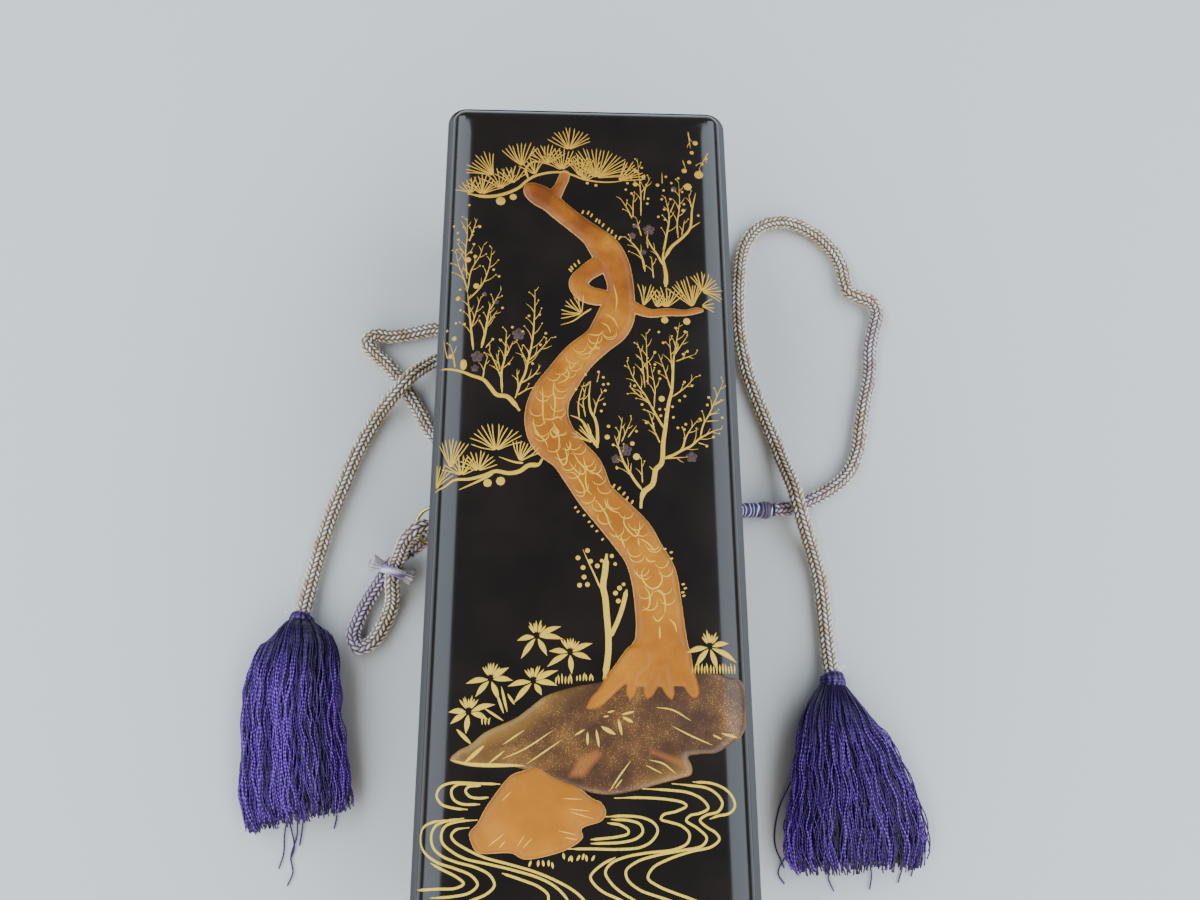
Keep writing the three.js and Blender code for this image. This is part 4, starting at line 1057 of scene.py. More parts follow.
faded_red = new_material("red lacquer, faded to brown")
pigment = cloudy(faded_red, PIGMENT_GRAIN, 3.0)
finished(faded_red, {"Base Color": toned(faded_red, pigment, [(0.35, "#33211c"), (0.7, "#5d4138")]),
                     "Roughness": 0.45, "IOR": 1.5})
BLOSSOMS = [
    (20.3, 86.8, 1.9), (14.8, 84.5, 1.2), (-21.8, 48.6, 2.0), (-34.6, 40.9, 1.9), (-35.2, 36.9, 1.2),
    (11.7, 10.3, 1.9), (32, 8.4, 1.7), (8.7, 7.5, 1.4), (-29, 59.8, 0.8), (-33, 62.5, 0.8), (29, 102.5, 1.0),
    (18.5, 78.5, 0.9), (15.8, 88.2, 0.9),
]
petals = []
for u, v, radius in BLOSSOMS:
    spots = [np.array([u, v]) + radius * 0.62 * heading(turn_by) for turn_by in range(90, 450, 72)]
    petals += dots(spots, radius * 0.5, lift=0.1) + dots([(u, v)], radius * 0.3, lift=0.16)
add_gold("faded_blossoms", petals, faded_red)

# %% [markdown]
# ### A young tree, bamboo grass and moss
# Left of the pine's foot stands a young bare tree with blunt ends. A tuft of bamboo grass is a
# few wide leaves shaped like a lens, which hang round a point without touching it, and thin
# blades that stand up. Moss on the bark is short dashes square to the edge of the trunk.

# %% Young tree
young_tree = strokes([
    [1.15, 4.6, -58.2, 5.4, -55, 6, -50, 6, -45, 5.6, -40, 5.2, -35, 4.6, -31.6, 5.2, -27, 5.7, -21.8],
    [0.85, 6.4, -46.5, 8.6, -42, 10.2, -37.6, 11.5, -32.4],
], "none") + strokes([[0.4, 3.8, -32.2, 2, -28, 0.4, -24.6, -1.4, -20.5]])
young_tree += dots([
    (-2.8, -23.1), (-1.3, -26), (-1, -28.8), (0, -20.9), (0.9, -24.1), (4.2, -23.9, 0.6), (2.9, -25.5),
    (7.2, -22.5, 0.7), (8.2, -24.9, 0.6), (-2.3, -31.2), (0, -31), (10.6, -30.9, 0.6), (9.4, -32),
    (8.2, -33.5), (9, -35.8),
], 0.8)
add_gold("gold_young_tree", young_tree)

# %% Bamboo grass
LEAF_HALF = 1.0
BLADE_HALF = 0.37
LEAF_START = 0.8
TUFTS = [
    (-14.6, -46, [-20.2, -47.2, -19, -52.3, -11.6, -51.5, -7, -46.8, -7.6, -43.2]),
    (-5, -50.6, [-11.5, -54.6, -4.5, -56.6, 1, -52.6, 1.4, -48, -11, -50.2]),
    (-27.5, -58, [-34.4, -59.2, -31.6, -62.8, -25, -63.8, -21.2, -58.4, -22.4, -54.8]),
    (-15.4, -58.6, [-22.6, -60, -20.8, -64.6, -13, -62.4, -8.6, -59.8, -8.4, -55.6]),
    (-33.4, -67, [-39, -67, -38.4, -70.2, -34, -72.8, -28, -69, -26, -65]),
    (35.4, -49, [28.4, -50.8, 31, -54.6, 37.4, -55.6, 43.4, -53.4, 41, -48]),
]
grass = []
for u, v, tips in TUFTS:
    hub = np.array([u, v])
    for tip in np.reshape(tips, (-1, 2)):
        start = hub + (tip - hub) * LEAF_START / np.linalg.norm(tip - hub)
        bow = np.array([0, 0.06 * abs(tip[0] - hub[0])])
        grass.append(stroke([start, (start + tip) / 2 + bow, tip], LEAF_HALF, "leaf"))
    for direction in np.linspace(52, 128, 7):
        along = heading(direction + wander(4))
        grass.append(stroke([hub + along * 1.2, hub + along * 2.6, hub + along * rng.uniform(3.6, 5.0)],
                            BLADE_HALF))
grass += strokes([
    [0.7, -36.6, -71.6, -32.4, -75.6], [0.5, -25.6, -62, -23.6, -67.4], [0.5, -24.4, -60, -22.6, -67],
    [0.5, -22.6, -62, -20.6, -65], [0.45, -29, -66, -23.6, -69.4], [0.5, 0, -72.5, 0, -76],
    [0.5, 2.4, -71.8, 3.2, -76.6], [0.75, 3.8, -71, 7.8, -73.2], [0.4, -3.6, -73.4, -0.8, -71.8],
    [0.55, 8.6, -69, 9.6, -73.4], [0.6, 9.8, -68.4, 12.8, -70], [0.45, 9.6, -67.8, 13.2, -67],
    [0.35, 4.4, -68.4, 6, -68.2], [0.35, 5.6, -67.2, 7.6, -66.8],
], "both")
for first, last, low, high in ((-9, -4.4, -59.4, -56.2), (-3, 2, -58.6, -56.2), (30, 43.5, -56.6, -53.4),
                               (-29.5, -27, -70.5, -67.5)):
    for u in np.arange(first, last, 0.9):
        lean = wander(0.5)
        places = [(u, low), (u + lean * 0.3, (low + high) / 2), (u + lean, high - rng.uniform(0, 1.2))]
        grass.append(stroke(places, BLADE_HALF * 0.9))
add_gold("gold_bamboo_grass", grass)

# %% Moss dashes
MOSS = [
    (70, 0.8, [-1.5, 93, 0.3, 92.8, 1.4, 91.8, 3, 90, 4, 89.5, 5.2, 88.2, 6.9, 86.6, 8.1, 85.8, 9.3, 84,
               10.6, 83.5]),
    (120, 0.8, [-5.5, 71.4, -5, 72.3, -4, 73.3, -2.8, 74.5]),
    (55, 0.7, [8, -1, 9.6, -1.8, 11, -3.4, 12, -4.9, 13.5, -6]),
    (215, 0.45, [-3.6, -7.8, -2.8, -9.1, -1, -10.2, 0.5, -12.2, 1.4, -13.5, 2.8, -15, 4.5, -17.5]),
    (20, 0.5, [23, -20.3, 24.9, -21.3, 24.9, -23.2, 28.2, -30.8, 28.8, -32, 28, -33.2, 28.3, -34.2]),
]
moss = []
for direction, half_length, spots in MOSS:
    for spot in np.reshape(spots, (-1, 2)):
        reach = heading(direction + wander(10)) * half_length
        moss.append(stroke([spot - reach, spot, spot + reach], 0.38, "none"))
add_gold("gold_moss", moss)

# %% [markdown]
# ### Bark, bank and rock lines
# The bark is drawn on the finished trunk in thin pale gold: open loops and forks like torn
# plates, never quite alike. Long slanting strokes show how the bank and the rock are folded.

# %% Bark lines
BARK = [
    [-14, 30.5, -13.8, 27, -13.8, 23.5, -13.6, 20, -13, 17.8],
    [-10.3, 33, -10.6, 29, -10, 25.5, -10.2, 22, -10.6, 19.8], [-13.8, 20, -11, 19.6, -9, 20.5, -7.6, 19.2],
    [-16.7, 20.2, -16.2, 17, -14.8, 14.6, -13, 12.8, -12, 10.4],
    [-10.2, 17.4, -11.4, 15.6, -10.2, 13.8, -8.8, 15.6, -10.2, 17.4],
    [-10.8, 19, -9.4, 16, -8.6, 12.8, -9, 10.4], [-9.6, 10.2, -8.8, 7.6, -7.2, 5, -6.2, 7, -7, 11],
    [-5.6, 8.6, -4.4, 8.6, -2.6, 6, -0.6, 3.4, -1.6, 2.2, -4, 3.8, -5.8, 6.4],
    [-6.4, 2.8, -4.2, 2.6, -2.2, 0, -0.9, -3, -1.4, -4.6, -3.6, -4.2],
    [-5.6, 13, -5.2, 11, -6, 9.8, -7.6, 10.2], [-1.4, 7.6, 0.2, 3.4, 1.8, 3.4, 2.6, 5.4],
    [-0.4, 3, -0.6, 0, 0.2, -3, 1.4, -4.4], [1, 3, 3.4, 2, 4.6, 0.6],
    [2, -5.4, 4, -7.8, 5.6, -10.4, 6.6, -13.4, 8, -15.4], [5.2, -5.2, 5.6, -7.4, 7.4, -9, 9.6, -9.8],
    [11.2, -10.2, 10.8, -12.6, 12.4, -15.4, 14.4, -16.8, 15.4, -14.8, 15.6, -12], [15, -17, 15.2, -19.8],
    [15.4, -17.4, 18, -19, 20, -21.4], [9.8, -16.6, 11, -20.4], [17, -22.8, 18, -24.2, 20.2, -24.2],
    [17, -25.8, 15.8, -28, 16.6, -30.6, 19, -32.4, 21.4, -31, 21.8, -28.4, 20.8, -26.4],
    [16.4, -31.4, 18, -34, 17.6, -37.8, 15.6, -38.8], [19, -33.4, 21.4, -33, 22.6, -36.4, 22.4, -39.6],
    [18.8, -40.2, 20.2, -41.8, 22.2, -40], [20.8, -43, 20.8, -47], [23.4, -41, 25, -42.4, 25.8, -45],
    [-7.2, 36.6, -5.8, 35, -6.6, 32.8, -9.6, 31.4], [-5.8, 38.4, -5.2, 36.6, -3.4, 38.6],
    [0, 48.4, 3.4, 48, 5.2, 49.6], [3.6, 48, 2.6, 44.6, 0.6, 42, -2, 41.4, -3.6, 41.8],
    [2.6, 45.4, 3, 43.6, 4, 43], [8.4, 66, 9.4, 60.5, 9, 56.5], [5.2, 55.5, 8.2, 53.8, 9.8, 50.6],
    [4.2, 52.4, 6.4, 51.2, 7.4, 48.6],
]
SCALES_LOW, SCALES_HIGH = -38, 50
SCALE_RADIUS = 2.3
SCALE_GAP = 5.0


def bark_scales():
    """More lines like the traced ones: open arcs in rows over the trunk, each a little out of place."""
    arcs = []
    for stop, after in zip(TRUNK[:-1], TRUNK[1:]):
        places = np.array([stop, after], float)
        length = np.linalg.norm(places[1, :2] - places[0, :2])
        for at in np.arange(0, length, SCALE_GAP):
            x, y, half_width = places[0, :3] + (places[1, :3] - places[0, :3]) * at / length
            if not SCALES_LOW < y < SCALES_HIGH:
                continue
            for number, across in enumerate((-0.45, 0.45)):
                spot = np.array([x + half_width * across + wander(0.8), y + 1.6 * number + wander(0.8)])
                turn = -90 + wander(35)
                arc = [spot + SCALE_RADIUS * heading(turn + bend) for bend in (-85, -45, 0, 45, 85)]
                arcs.append(stroke(arc, 0.24))
    return arcs


add_gold("gold_bark_lines", strokes([[0.34, *row] for row in BARK], "both") + bark_scales())

# %% Lines on the bank and the rock
BANK_LINES = [
    [0.3, -17.6, -71.9, -23.6, -75.8], [0.3, -9.6, -72, -17.6, -77, -23.7, -79.6],
    [0.3, -7.2, -74.6, -17, -81], [0.3, 19.4, -65.9, 24, -66.6, 29.2, -69.6],
    [0.3, 23.8, -71, 29, -73.6, 35, -76.2], [0.35, 35.2, -73.4, 37.8, -74.6], [0.5, 37.6, -73, 42.4, -74.2],
    [0.3, 12, -80.2, 9, -84, 6, -88.2], [0.25, 9.6, -85, 7.6, -87.4], [0.3, 17, -80, 21, -81, 24.6, -83.8],
    [0.25, 16.2, -81.4, 20.6, -83.6], [0.7, -38, -79.8, -33, -80.9, -17.5, -81.4],
    [0.7, -28.7, -76, -34, -80.6], [0.35, -23.0, -77.4, -27.4, -80.8],
]
ROCK_LINES = [
    [-7, -89.9, -1.4, -90.2], [-4.8, -93.4, 1.6, -95.2], [-7.8, -98.2, -3.2, -99.2],
    [-22.6, -98.8, -26.8, -102], [-17, -99.2, -19, -102], [-15, -100, -17.4, -102.4],
    [-20.8, -88, -23.5, -90.5], [-22.2, -100.6, -24.0, -102.6], [-6.4, -99.8, -2.6, -100.6],
    [-5.2, -92.6, 0.4, -93.2],
]
add_gold("gold_bank_lines", strokes(BANK_LINES + [[0.2, *row] for row in ROCK_LINES], "both"))

# %% [markdown]
# ### The stream
# Water is drawn in bands of parallel lines that curl and fold back, as on many lacquers. The
# lines of a band keep their distance, so each band is a few places and a count: its other lines
# are drawn beside the first.

# %% Stream
WATER = [
    [(-23.9, -86.2), (-29.9, -86.0), (-38.0, -85.9), (-40.8, -87.3), (-41.4, -89.3), (-39.9, -91.3),
     (-36.1, -92.4), (-32.7, -92.7)],
    [(-29.9, -86.4), (-35.5, -86.2), (-37.3, -87.6), (-36.8, -89.9), (-34.6, -91.2), (-29.4, -91.4)],
    [(-29.3, -86.6), (-32.7, -86.8), (-33.5, -87.8), (-32.4, -89.3), (-29.9, -89.8), (-27.1, -89.6)],
    [(7.3, -90.0), (14.5, -89.9), (22.0, -90.4), (26.4, -91.3), (27.3, -92.1), (24.5, -93.5), (20.8,
     -94.4), (20.1, -95.5), (22.6, -96.3), (25.8, -97.3), (27.9, -99.4), (27.3, -101.6), (23.9, -103.2),
     (15.8, -104.1), (10.1, -105.1), (6.4, -106.6), (4.8, -108.8), (6.4, -111.6), (9.5, -114.1), (15.8,
     -117.3)],
    [(15.1, -87.6), (22.6, -88.0), (28.3, -88.8), (32.0, -90.7), (33.3, -92.8), (30.8, -94.1), (28.3,
     -94.6), (27.1, -95.9), (30.1, -97.9), (32.6, -100.4), (31.4, -102.3), (25.8, -103.5), (18.3, -104.8),
     (13.3, -106.3), (10.4, -108.5), (10.8, -110.7), (13.9, -113.2), (18.3, -114.8), (25.8, -116.9)],
    [(23.3, -86.3), (28.3, -86.8), (33.3, -87.6), (36.1, -89.4), (37.3, -91.6), (36.1, -93.6), (32.6,
     -94.6), (30.9, -95.9), (32.6, -97.6), (35.1, -99.1), (36.1, -100.7), (33.9, -102.6), (28.3, -103.8),
     (22.0, -105.7), (17.6, -107.9), (16.3, -110.4), (18.9, -112.3), (23.9, -114.3), (32.0, -116.9)],
    [(29.2, -85.9), (34.5, -86.3), (38.3, -87.9), (40.3, -90.1), (40.8, -92.4), (39.2, -94.1), (35.8,
     -94.8), (33.6, -95.6)],
    [(4.8, -94.8), (10.1, -94.6), (15.1, -95.1), (18.3, -96.6), (19.2, -98.5), (17.6, -101.0), (14.5,
     -102.6), (8.3, -103.1), (0.8, -102.9), (-5.5, -102.9)],
    [(6.4, -95.5), (11.4, -95.8), (14.5, -96.9), (15.1, -98.8), (13.3, -100.4), (9.5, -101.3), (0.8,
     -101.6)],
    [(5.4, -96.4), (8.9, -96.9), (11.1, -98.2), (11.1, -99.1), (8.3, -99.9), (0.8, -100.6)],
    [(-29.9, -95.4), (-35.5, -95.8), (-38.6, -96.9), (-39.6, -98.8), (-39.3, -101.0), (-36.8, -103.2),
     (-33.0, -105.1), (-26.8, -106.5), (-19.9, -108.1), (-13.0, -110.1), (-8.6, -112.3), (-5.5, -115.3),
     (-4.0, -118.0)],
    [(-32.1, -97.3), (-35.8, -97.9), (-36.9, -99.3), (-36.1, -100.7), (-33.0, -102.6), (-28.0, -104.8),
     (-21.1, -106.6), (-14.3, -108.5), (-8.0, -111.0), (-3.0, -113.8), (1.4, -118.0)],
    [(-33.6, -94.9), (-38.6, -95.7), (-41.4, -96.9), (-42.5, -99.4), (-41.8, -102.3), (-39.3, -104.4),
     (-35.5, -105.9), (-29.9, -107.4), (-26.1, -109.4), (-24.9, -111.8), (-26.8, -113.8), (-30.5, -115.3),
     (-36.0, -117.0)],
    [(-38.6, -95.3), (-42.4, -96.0), (-45.5, -97.6), (-46.4, -100.4), (-44.9, -103.2), (-40.5, -106.0),
     (-35.5, -107.6), (-31.1, -109.4), (-29.4, -111.6), (-31.4, -113.5), (-35.5, -114.4), (-42.0, -114.8)],
    [(-42.4, -106.2), (-38.6, -108.0), (-35.2, -109.6), (-33.1, -111.3), (-35.2, -112.4), (-40.5, -112.6),
     (-46.8, -113.2)],
    [(-23.0, -108.8), (-18.0, -110.4), (-13.0, -112.3), (-10.5, -114.4), (-10.8, -117.0)],
    [(7.6, -105.1), (3.9, -106.9), (0.8, -109.8), (1.4, -111.3), (3.9, -113.5), (8.6, -115.6), (12.0,
     -117.3)],
]
RIPPLES = [(-15.8, -107.3, 70), (-13.4, -107.3, 84), (-11.8, -107.3, 100), (-10.5, -107.3, 90),
           (-9.3, -107.8, 100), (-6.3, -105.5, 100), (-5.2, -106.0, 60), (-4.2, -106.2, 96),
           (-2.9, -105.9, 60), (-1.4, -105.7, 75),
           (-0.2, -106.1, 96), (1.1, -106.0, 60)]
stream = [stroke(places, 0.45, "none") for places in WATER]
for u, v, direction in RIPPLES:
    spot = np.array([u, v])
    stream.append(stroke([spot, spot + 0.85 * heading(direction), spot + 1.7 * heading(direction)], 0.45))
add_gold("gold_stream", stream)

# %% [markdown]
# ## Brass rings and staples
# A staple of brass wire on a round washer holds each ring. They are drawn wire, rubbed bright
# by the cord, so the metal is smooth with a faint waviness.

# %% Brass material
BRASS_WEAR = 1.5

brass = new_material("brass wire, drawn and worn bright")
wear = cloudy(brass, BRASS_WEAR, 3.0)
finished(brass, {"Base Color": toned(brass, wear, [(0.3, "#bfa850"), (0.7, "#e8dc94")]), "Metallic": 1.0,
                 "Roughness": mapped(brass, wear, (0.0, 1.0), (0.18, 0.38))})

# %% Rings and staples
STAPLE_HEIGHT = 20.0
WASHER_RADIUS = 4.0
WASHER_THICKNESS = 1.1
EYE_RADIUS = 2.4
EYE_WIRE = 0.7
RING_RADIUS = 6.3
RING_WIRE = 0.75
washer_x = BODY_HALF_X + 0.3
eye_x = washer_x + WASHER_THICKNESS + EYE_RADIUS + EYE_WIRE - 0.4


def hoop(middle, first, second, radius, wire, around=16, steps=64):
    """A ring of round wire in the plane of two directions."""
    first, second = np.array(first, float), np.array(second, float)
    face = np.cross(first, second)
    turn_angle = 2 * np.pi * np.arange(steps) / steps
    out = np.cos(turn_angle)[:, None] * first + np.sin(turn_angle)[:, None] * second
    wire_angle = 2 * np.pi * np.arange(around) / around
    points = (np.array(middle) + out[:, None] * (radius + wire * np.cos(wire_angle))[:, None]
              + face * (wire * np.sin(wire_angle))[:, None])
    return points.reshape(-1, 3), skin((steps, around), along=True).tolist()


def washer(side):
    """A round washer with eased edges, flat on the wall."""
    profile = [(0.0, 0.0), (WASHER_RADIUS - 0.2, 0.0), (WASHER_RADIUS, 0.2),
               (WASHER_RADIUS, WASHER_THICKNESS - 0.35),
               (WASHER_RADIUS - 0.12, WASHER_THICKNESS - 0.1), (WASHER_RADIUS - 0.4, WASHER_THICKNESS),
               (1.6, WASHER_THICKNESS), (1.2, WASHER_THICKNESS + 0.25), (0.0, WASHER_THICKNESS + 0.3)]
    angle = 2 * np.pi * np.arange(40) / 40
    rows = [[(side * (washer_x + out), r * math.cos(a), STAPLE_HEIGHT + r * math.sin(a)) for a in angle]
            for r, out in profile[1:-1]]
    return np.array(rows).reshape(-1, 3), capped((len(rows), len(angle)))


def hanging_ring(side, hang):
    """The two directions and the middle of a ring that hangs from its staple."""
    inwards = -np.array(hang, float) / np.linalg.norm(hang)
    along_wall = np.array([0, 1.0, 0]) - inwards * inwards[1]
    along_wall /= np.linalg.norm(along_wall)
    middle = np.array([side * eye_x, 0, STAPLE_HEIGHT]) - inwards * RING_RADIUS
    return middle, inwards, along_wall


HANGS = {"left": (-1, (-0.87, 0.0, -0.5)), "right": (1, (0.3, 0.5, -0.81))}
ring_of = {}
for name, (side, hang) in HANGS.items():
    ring_of[name] = hanging_ring(side, hang)
    eye = hoop((side * eye_x, 0, STAPLE_HEIGHT), (1, 0, 0), (0, 0, 1), EYE_RADIUS, EYE_WIRE)
    points, faces = joined([washer(side), eye])
    add_piece(f"brass_staple_{name}", points, faces, brass, [f"ring_staple_{name}"], sharp=50)
    points, faces = hoop(*ring_of[name], RING_RADIUS, RING_WIRE)
    add_piece(f"brass_ring_{name}", points, faces, brass, [f"ring_{name}"])

# %% [markdown]
# ## Braided silk cord
# The cords are round braids of silk. On the surface, a braid is columns of small leaning
# stitches, and each column leans the other way, so that two together look like an ear of
# wheat. A stitch is a cushion that stands well over its gaps. The skin of the cord is pushed out
# stitch by stitch, and marks travel with it: how light a stitch is, how deep in a gap a point
# lies, and where violet dye has run into the silk. The deeper a point lies in a gap, the darker
# it is coloured: painted shade for the shadow between the stitches.

# %% Braid
CORD_DIAMETER = 5.6
BRAID_COLUMNS = 8
STITCH_PITCH = 2.0
STITCH_SLANT = 0.85
BRAID_DEPTH = 0.9
BRAID_PROUD = 0.12
BRAID_STEP = 0.3
BRAID_AROUND = 64


def braid(line, dyed):
    """A braided skin along a line: points, faces and marks. `dyed` says how violet the silk is along it."""
    walked = run_length(line)[:, None]
    column = np.arange(BRAID_AROUND)[None, :] * BRAID_COLUMNS / BRAID_AROUND
    number = np.floor(column)
    across = column - number - 0.5 + 0.5 * BRAID_COLUMNS / BRAID_AROUND
    lean = np.where(number % 2 == 0, 1, -1)
    along = walked / STITCH_PITCH + 0.5 * (number % 2) + lean * STITCH_SLANT * across
    stitch = np.floor(along)
    within = along - stitch - 0.5
    height = (0.15 + 0.85 * np.cos(np.pi * across) ** 0.9) * (0.04 + 0.96 * np.cos(np.pi * within) ** 0.9)
    radii = CORD_DIAMETER / 2 + BRAID_PROUD - BRAID_DEPTH * (1 - height)
    points, faces = tube(line, radii, BRAID_AROUND)
    chance = np.modf(np.abs(np.sin(number * 12.99 + stitch * 78.23) * 437.58))[0]
    violet = np.interp(walked, [at for at, _ in dyed], [share for _, share in dyed])
    marks = {"light": chance, "gap": 1 - height, "fibre": across * lean * 2.0 + within, "violet": violet}
    marks = {name: np.broadcast_to(mark, radii.shape).reshape(-1) for name, mark in marks.items()}
    return points, faces, marks


# %% Silk braid material
THREADS_A_STITCH = 30.0

silk_braid = new_material("round braid of cream and beige silk")
violet = mark_of(silk_braid, "violet")
silks = toned(silk_braid, mark_of(silk_braid, "light"), [
    (0.0, "#cfae7c"), (0.3, "#ecd5a6"), (0.6, "#fff0cf"), (1.0, "#fff9ea")])
dyed_silk = blended(silk_braid, worked(silk_braid, "MULTIPLY", violet, 0.55), silks, "#b9a3d6")
# painted shade: the gaps between the stitches are coloured dark brown, or dark violet where the silk is
# violet, the more the deeper they lie
shaded_gap_silk = blended(silk_braid, violet, colour("#44281e"), "#2a1454")
depth = mapped(silk_braid, mark_of(silk_braid, "gap"), (0.3, 0.74), (0.0, 0.95))
threads = worked(silk_braid, "MULTIPLY", mark_of(silk_braid, "fibre"), THREADS_A_STITCH)
finished(silk_braid, {
    "Base Color": blended(silk_braid, depth, dyed_silk, shaded_gap_silk), "Roughness": 0.38, "IOR": 1.54,
    "Sheen Weight": 0.1, "Sheen Roughness": 0.4,
    "Normal": bumpy(silk_braid, worked(silk_braid, "SINE", threads), 0.3, 0.05)})

# %% [markdown]
# ## The three cords
# The routes were laid along what the photograph shows, and are the same as in the CAD
# model. Each long cord starts at the bound end on its ring, crosses over itself and ends in a
# tassel. The short one is a loop through the left ring: its end meets its start under the ring.

# %% Routes
ROUTES = {
    "cord_left": [
        [-50.5, 23.1, 6.2], [-50.8, 26.8, 4.3], [-51.6, 30.8, 3.2], [-54.2, 35.2, 2.9], [-58.2, 40.2, 2.9],
        [-61.8, 46.3, 2.9], [-66.8, 54.5, 2.9], [-71.6, 61.8, 2.9], [-76.6, 67.6, 3.0], [-81.4, 71.8, 3.6],
        [-84.2, 75.6, 4.6], [-81.4, 78.8, 4.4], [-76.0, 78.8, 3.4], [-70.4, 79.6, 2.9], [-63.8, 81.2, 2.9],
        [-57.6, 82.4, 2.9], [-52.6, 80.6, 2.9], [-50.6, 75.8, 2.9], [-53.0, 71.2, 3.0], [-58.0, 68.2, 3.8],
        [-62.0, 64.4, 6.4], [-66.0, 59.6, 9.1], [-69.8, 55.2, 8.8], [-73.4, 51.4, 6.6], [-76.6, 48.0, 4.3],
        [-79.9, 42.9, 3.0], [-85.2, 31.2, 2.9], [-89.3, 18.8, 2.9], [-93.6, 4.7, 2.9], [-96.2, -6.8, 2.9],
        [-98.0, -16.6, 2.9], [-99.3, -25.0, 3.5], [-99.9, -30.2, 4.5],
    ],
    "cord_right": [
        [72.4, 9.6, 3.7], [76.2, 9.9, 3.3], [81.5, 11.0, 2.9], [86.0, 13.0, 2.9], [94.2, 17.4, 2.9],
        [101.8, 23.6, 2.9], [106.6, 32.6, 2.9], [108.9, 42.7, 2.9], [111.3, 53.4, 2.9], [114.4, 65.0, 2.9],
        [115.7, 76.5, 2.9], [118.2, 86.0, 3.2], [119.6, 91.4, 3.8], [117.6, 96.4, 4.4], [112.6, 98.6, 4.4],
        [108.8, 101.4, 3.6], [107.8, 106.4, 3.0], [106.9, 113.4, 2.9], [102.8, 121.6, 2.9],
        [95.0, 129.2, 2.9], [84.1, 133.4, 2.9], [73.4, 130.4, 2.9], [66.8, 121.4, 2.9], [64.2, 108.5, 2.9],
        [63.1, 93.7, 2.9], [63.4, 79.4, 2.9], [65.6, 65.3, 2.9], [69.7, 51.6, 2.9], [74.6, 37.0, 3.2],
        [77.4, 26.4, 5.4], [79.4, 17.4, 8.8], [81.0, 9.4, 9.2], [83.2, 2.2, 7.2], [85.9, -5.2, 4.0],
        [88.3, -15.7, 2.9], [89.1, -27.0, 2.9], [89.4, -38.2, 2.9], [89.7, -46.4, 3.5], [89.8, -51.2, 4.5],
    ],
    "cord_loop_left": [
        [-61.7, -7.3, 8.4], [-59.3, -5.4, 9.2], [-56.7, -3.4, 10.7], [-55.2, -1.4, 13.8],
        [-55.8, -0.8, 17.6], [-58.8, -2.2, 19.7], [-61.9, -4.8, 18.6], [-64.2, -8.2, 15.0],
        [-65.8, -11.2, 11.9], [-67.0, -14.0, 10.6], [-67.8, -16.8, 10.2], [-68.1, -20.2, 7.8],
        [-68.3, -24.6, 4.2], [-69.4, -29.4, 3.0], [-71.6, -34.6, 2.9], [-75.0, -40.0, 2.9],
        [-79.6, -41.7, 2.9], [-81.8, -37.6, 2.9], [-80.3, -31.6, 2.9], [-77.8, -25.6, 2.9],
        [-74.9, -20.6, 3.4], [-72.2, -16.6, 4.1], [-70.0, -12.6, 4.3], [-67.0, -9.6, 5.4],
        [-62.4, -7.6, 7.9],
    ],
}
DYED = {
    "cord_left": [(0, 0.8), (18, 0.2), (40, 0.1)],
    "cord_right": [(0, 0.9), (12, 0.8), (24, 0.3), (60, 0.15), (72, 0.5), (100, 0.55), (112, 0.1)],
    "cord_loop_left": [(0, 0.5), (25, 0.4), (40, 0.2), (54, 0.05), (66, 0.3), (72, 0.9), (100, 0.95),
                       (115, 0.5)],
}


# %% Cords
FRAYED_THREADS = 16
FRAYED_RADIUS = 0.2


def frayed(end, outward):
    """Short cream threads that escape where the cord enters its tassel."""
    parts = []
    for number in range(FRAYED_THREADS):
        spread = np.array([wander(0.5), wander(0.5), wander(0.35)])
        direction = np.array(outward) + spread
        places = [end + direction * 1.6, end + direction * 2.9, end + direction * (3.9 + wander(0.5))
                  + np.array([0, wander(0.8), 0])]
        parts.append(tube(smooth_line(places, 0.8), FRAYED_RADIUS, 5))
    return joined(parts)


FRAYED = {"cord_left": (-1.0, 0.1, 0.3), "cord_right": (1.0, 0.25, 0.3)}
cord_piece, cord_line, frayed_piece = {}, {}, {}
for name, route in ROUTES.items():
    line = smooth_line(route, BRAID_STEP)
    points, faces, marks = braid(line, DYED[name])
    cord_line[name] = line
    cord_piece[name] = add_piece(f"braided_{name}", points, faces, silk_braid, [name],
                                 marks=marks)
    if name in FRAYED:
        points, faces = frayed(line[-4], FRAYED[name])
        zero = np.zeros(len(points))
        marks = {"light": zero + 1, "gap": zero, "fibre": zero, "violet": zero}
        frayed_piece[name] = add_piece(f"frayed_silk_{name}", points, faces, silk_braid, [],
                                       marks=marks)
    print(name, "length in mm:", run_length(line)[-1].round(1))

# %% [markdown]
# ## Violet silk
# Whippings, binding and tassels are of twisted violet silk thread: a deep blue violet. The tassel
# threads carry a painted highlight that comes and goes with the twist, and their painted shade is
# nearly black where threads shade each other. The whippings and the binding are wound of violet and
# pale thread together.

# %% Violet silk materials
TWIST_PITCH = 1.2

violet_silk = new_material("twisted violet silk thread")
# painted highlight: the tone rises and falls along each thread with the pitch of its twist
turns = worked(violet_silk, "MULTIPLY", mark_of(violet_silk, "walked"), 2 * math.pi / TWIST_PITCH)
twist = mapped(violet_silk, worked(violet_silk, "SINE", turns), (-1.0, 1.0), (-0.2, 0.2))
tone = worked(violet_silk, "ADD", mark_of(violet_silk, "shade"), twist)
finished(violet_silk, {
    "Base Color": toned(violet_silk, tone, [
        (0.0, "#04010a"), (0.35, "#16042e"), (0.65, "#340a60"), (0.85, "#521c94"), (1.0, "#8a4cd0")]),
    "Roughness": 0.34, "IOR": 1.54})

striped_silk = new_material("violet and pale silk thread, wound tight")
stripes = toned(striped_silk, mark_of(striped_silk, "stripe"), [
    (0.0, "#241046"), (0.4, "#4a2c86"), (0.62, "#9c88bc"), (0.85, "#ded5e6"), (1.0, "#f3eff2")])
finished(striped_silk, {
    "Base Color": blended(striped_silk, mark_of(striped_silk, "tan"), stripes, "#c9b48a"),
    "Roughness": 0.42, "IOR": 1.54, "Sheen Weight": 0.2, "Sheen Roughness": 0.4})

